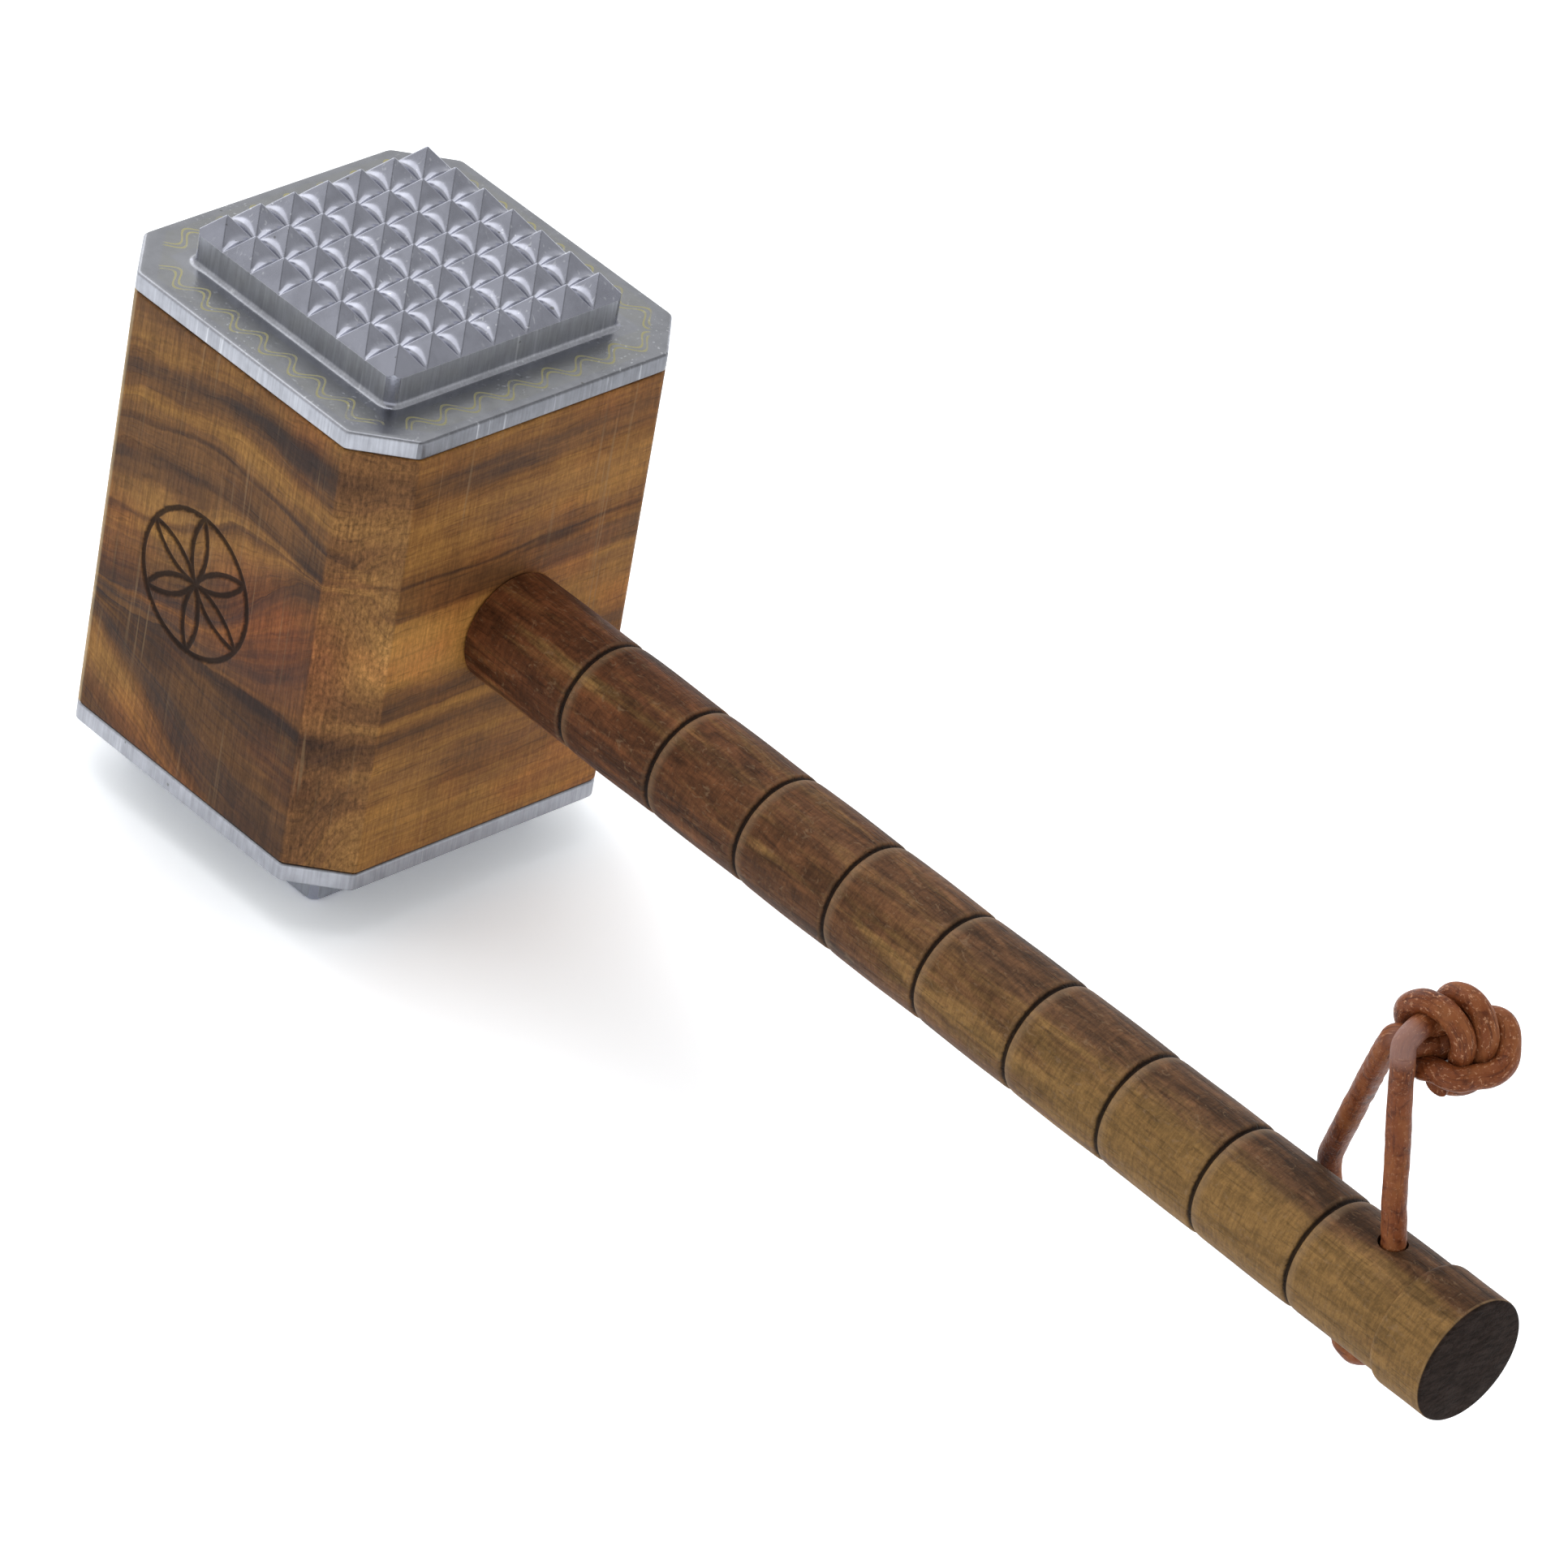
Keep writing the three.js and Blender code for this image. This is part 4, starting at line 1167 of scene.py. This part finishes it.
class MALLET_OT_thong(bpy.types.Operator):
    """Make the two legs of the leather thong and its knot"""
    bl_idname = "mallet.thong"
    bl_label = "Thong"

    def execute(self, context):
        settings = context.scene.mallet_thong
        leather = leather_material(settings)
        radius = settings.thickness / 2
        along_axis = unit(knot_along)
        front_axis = unit(np.array(knot_front) - np.dot(knot_front, along_axis) * along_axis)
        directions = np.array([along_axis, np.cross(front_axis, along_axis), front_axis])
        middle = thong_hole + np.array(knot_middle) * MM
        local = [smooth_route(places) for places in (wrap_strand, core_strand)]
        knotted = [middle + path @ directions for path in spread(local, 0.9 * settings.thickness, 40)]
        pieces = [strand_rows(path, radius, seed) for seed, path in enumerate(knotted, 11)]
        knot = self.join("knot", pieces)
        dress(knot, leather, "thong_leather", "thong_knot")
        legs = (("front_lace", front_leg, "thong_front_leg"), ("back_lace", back_leg, "thong_back_leg"))
        for seed, (name, places, node) in enumerate(legs):
            path = thong_hole + smooth_route(places)
            onward = knotted[seed][0]
            path = np.concatenate([path, [path[-1] + (onward - path[-1]) * 1.1]])
            lace = self.join(name, [strand_rows(path, radius, seed + 3)])
            dress(lace, leather, "thong_leather", node)
        return {"FINISHED"}

    def join(self, name, pieces):
        """One mesh of several closed strands."""
        rows, straight_rows = zip(*pieces)
        made = mesh_object(name, *closed_skins(rows))
        add_straight(made, closed_skins(straight_rows)[0])
        finish_mesh(made, 60)
        return made


class MALLET_OT_block(bpy.types.Operator):
    """Make the wooden head block with its burnt rosette"""
    bl_idname = "mallet.block"
    bl_label = "Head block"

    def execute(self, context):
        block = mesh_object("wooden_block", *closed_skins([block_shape()]))
        socket = rod("socket", socket_radius, (block_half + 2 * cutter_overlap, 0, axis_height),
                     (block_half - socket_depth, 0, axis_height))
        upper = pin_rods(block_high.z, -1, pin_hole_in_block)
        lower = pin_rods(block_low.z, 1, pin_hole_in_block)
        cut_away(block, [socket, *upper, *lower])
        finish_mesh(block)
        dress(block, block_material(context.scene.mallet_block), "head_wood", "head_block")
        return {"FINISHED"}


class MALLET_OT_plates(bpy.types.Operator):
    """Make the toothed and the smooth striking plates"""
    bl_idname = "mallet.plates"
    bl_label = "Striking plates"

    def execute(self, context):
        aluminium = plate_material(context.scene.mallet_plates)
        height = toothed_high.z - toothed_low.z

        def teeth(x, y):
            """The lower of the two runs of grooves, with ridges rounded as casting leaves them and small
            flat tips."""
            last = field_half - tooth_pitch / 2
            from_x, from_y = from_valley(x), from_valley(y)
            along_x = groove_height(from_y, from_x, np.abs(y) > last)
            along_y = groove_height(from_x, from_y, np.abs(x) > last)
            return np.minimum(smaller(along_x, along_y, ridge_softness), tooth_depth)

        cells = teeth_per_side * cells_per_tooth
        points, faces = plate_shape(cells, field_half, height - tooth_depth, 0, teeth)
        points[:, 2] += toothed_low.z
        toothed = mesh_object("toothed_face", points, faces)
        cut_away(toothed, pin_rods(toothed_low.z, 1, pin_hole_in_plate))
        finish_mesh(toothed, 30)
        dress(toothed, aluminium, "striking_plates", "toothed_plate")

        points, faces = plate_shape(smooth_pad_cells, smooth_pad_half, height, smooth_pad_ease,
                                    lambda x, y: 0 * x)
        points[:, 1:] *= -1
        points[:, 2] += smooth_top
        smooth = mesh_object("smooth_face", points, faces)
        cut_away(smooth, pin_rods(smooth_top, -1, pin_hole_in_plate))
        finish_mesh(smooth, 30)
        dress(smooth, aluminium, "striking_plates", "smooth_plate")
        return {"FINISHED"}


class MALLET_OT_handle(bpy.types.Operator):
    """Make the turned handle with its cross hole"""
    bl_idname = "mallet.handle"
    bl_label = "Handle"

    def execute(self, context):
        handle = mesh_object("turned_handle", *closed_skins([handle_shape()]))
        reach = 2 * pommel_radius
        drill = rod("cross hole", thong_hole_radius, thong_hole + [0, 0, reach], thong_hole - [0, 0, reach])
        cut_away(handle, [drill])
        finish_mesh(handle)
        dress(handle, handle_material(context.scene.mallet_handle), "handle_wood", "handle")
        return {"FINISHED"}


class MALLET_OT_dowels(bpy.types.Operator):
    """Give the hidden dowel pins their wood"""
    bl_idname = "mallet.dowels"
    bl_label = "Dowel pins"

    def execute(self, context):
        wood = dowel_material()
        for name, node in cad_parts.items():
            if "_pin_" in name:
                node.data.materials.clear()
                node.data.materials.append(wood)
        return {"FINISHED"}


class MALLET_OT_stage(bpy.types.Operator):
    """Make the pale floor, the surroundings and the lights"""
    bl_idname = "mallet.stage"
    bl_label = "Stage"

    def execute(self, context):
        settings = context.scene.mallet_stage
        self.floor()
        self.surroundings(context.scene)
        self.lamp("main light", direction=(-0.60, 0.05, 0.80), distance=1.2, width=0.8, length=2.2,
                  turn=-12, power=settings.key_power)
        context.scene.view_settings.view_transform = "Standard"
        return {"FINISHED"}

    def floor(self):
        """A wide disc under the mallet. It looks a little paler to the camera and in reflections than it
        is in the light it throws back, so that it stays white and keeps its shadow."""
        turn = ring_turns(floor_sides)
        ring = np.stack([np.cos(turn), np.sin(turn), 0 * turn], axis=-1)
        points = np.concatenate([ring * floor_radius, [[0, 0, 0]]]) - [0, 0, floor_gap]
        floor = mesh_object("floor", points, [fan_faces(0, floor_sides, floor_sides, True)])
        material = bpy.data.materials.new("Floor")
        material.use_nodes = True
        tree = material.node_tree
        tree.nodes.remove(tree.nodes["Principled BSDF"])
        nodes = Nodes(tree)
        rays = nodes.add("ShaderNodeLightPath", {}, None)
        seen = rays["Is Camera Ray"].larger(rays["Is Glossy Ray"]).larger(rays["Is Transmission Ray"])
        level = seen.between(0, 1, 0.82, 1.66)
        pale = nodes.vector(level * 0.98, level, level * 1.02)
        paper = nodes.add("ShaderNodeBsdfDiffuse", {"Color": pale})
        nodes.feed(tree.nodes["Material Output"].inputs["Surface"], paper)
        floor.data.materials.append(material)

    def surroundings(self, scene):
        """White up to a little over the horizon and pale grey above, a little darker over the camera's
        shoulder and toward the back right, and paler low on the left."""
        world = bpy.data.worlds.new("studio")
        scene.world = world
        world.use_nodes = True
        nodes = Nodes(world.node_tree)
        direction = nodes.add("ShaderNodeTexCoord", {}, "Generated")
        z = direction.axes()[2]

        def toward(target, near, far):
            """One within the near angle of the target's direction, and zero past the far one, in degrees."""
            inputs = {0: direction, 1: Vector(target).normalized()}
            closeness = nodes.add("ShaderNodeVectorMath", inputs, "Value", operation="DOT_PRODUCT")
            return closeness.between(math.cos(math.radians(far)), math.cos(math.radians(near)))

        shoulder = toward((0.44, -0.37, 0.82), 5, 38)
        back = toward((0.57, 0.62, 0.54), 8, 45)
        low_left = toward((-0.83, 0.10, 0.50), 4, 26)
        upper = low_left * 0.6 + 0.86 - (shoulder * 0.60 + back * 0.26)
        level = nodes.mix(z.between(0.12, 0.40), 1.0, nodes.vector(upper, upper, upper))
        background = world.node_tree.nodes["Background"]
        nodes.feed(background.inputs["Color"], level)
        background.inputs["Strength"].default_value = 1

    def lamp(self, name, direction, distance, width, length, turn, power):
        """An oblong soft light in a direction from the mallet, faced to it. Its length runs up and over, and
        is turned aside by an angle in degrees."""
        data = bpy.data.lights.new(name, "AREA")
        data.shape = "RECTANGLE"
        data.size, data.size_y = width, length
        data.energy = power
        lamp = bpy.data.objects.new(name, data)
        bpy.context.scene.collection.objects.link(lamp)
        toward = Vector(direction).normalized()
        lamp.location = Vector(light_aim) + toward * distance
        aside = Quaternion((0, 0, 1), math.radians(turn))
        lamp.rotation_euler = (toward.to_track_quat("Z", "Y") @ aside).to_euler()


class MALLET_PT_panel(bpy.types.Panel):
    """The mallet's settings and pieces"""
    bl_label = "Block mallet"
    bl_space_type = "VIEW_3D"
    bl_region_type = "UI"
    bl_category = "Mallet"

    def draw(self, context):
        scene = context.scene
        for group in (scene.mallet_thong, scene.mallet_block, scene.mallet_plates, scene.mallet_handle,
                      scene.mallet_stage):
            box = self.layout.box()
            for name in group.bl_rna.properties.keys():
                if name not in ("rna_type", "name"):
                    box.prop(group, name)
        for operator in OPERATORS:
            self.layout.operator(operator.bl_idname)


SETTINGS = {
    "mallet_thong": ThongSettings,
    "mallet_block": BlockSettings,
    "mallet_plates": PlateSettings,
    "mallet_handle": HandleSettings,
    "mallet_stage": StageSettings,
}
OPERATORS = (
    MALLET_OT_camera, MALLET_OT_thong, MALLET_OT_block, MALLET_OT_plates, MALLET_OT_handle,
    MALLET_OT_dowels, MALLET_OT_stage,
)
CLASSES = (*SETTINGS.values(), *OPERATORS, MALLET_PT_panel)


def register():
    for item in CLASSES:
        bpy.utils.register_class(item)
    for name, group in SETTINGS.items():
        setattr(bpy.types.Scene, name, PointerProperty(type=group))


def unregister():
    for name in SETTINGS:
        delattr(bpy.types.Scene, name)
    for item in reversed(CLASSES):
        bpy.utils.unregister_class(item)


def main():
    register()
    bpy.ops.mallet.camera()
    bpy.ops.mallet.thong()
    bpy.ops.mallet.block()
    bpy.ops.mallet.plates()
    bpy.ops.mallet.handle()
    bpy.ops.mallet.dowels()
    bpy.ops.mallet.stage()


if __name__ == "__main__":
    main()
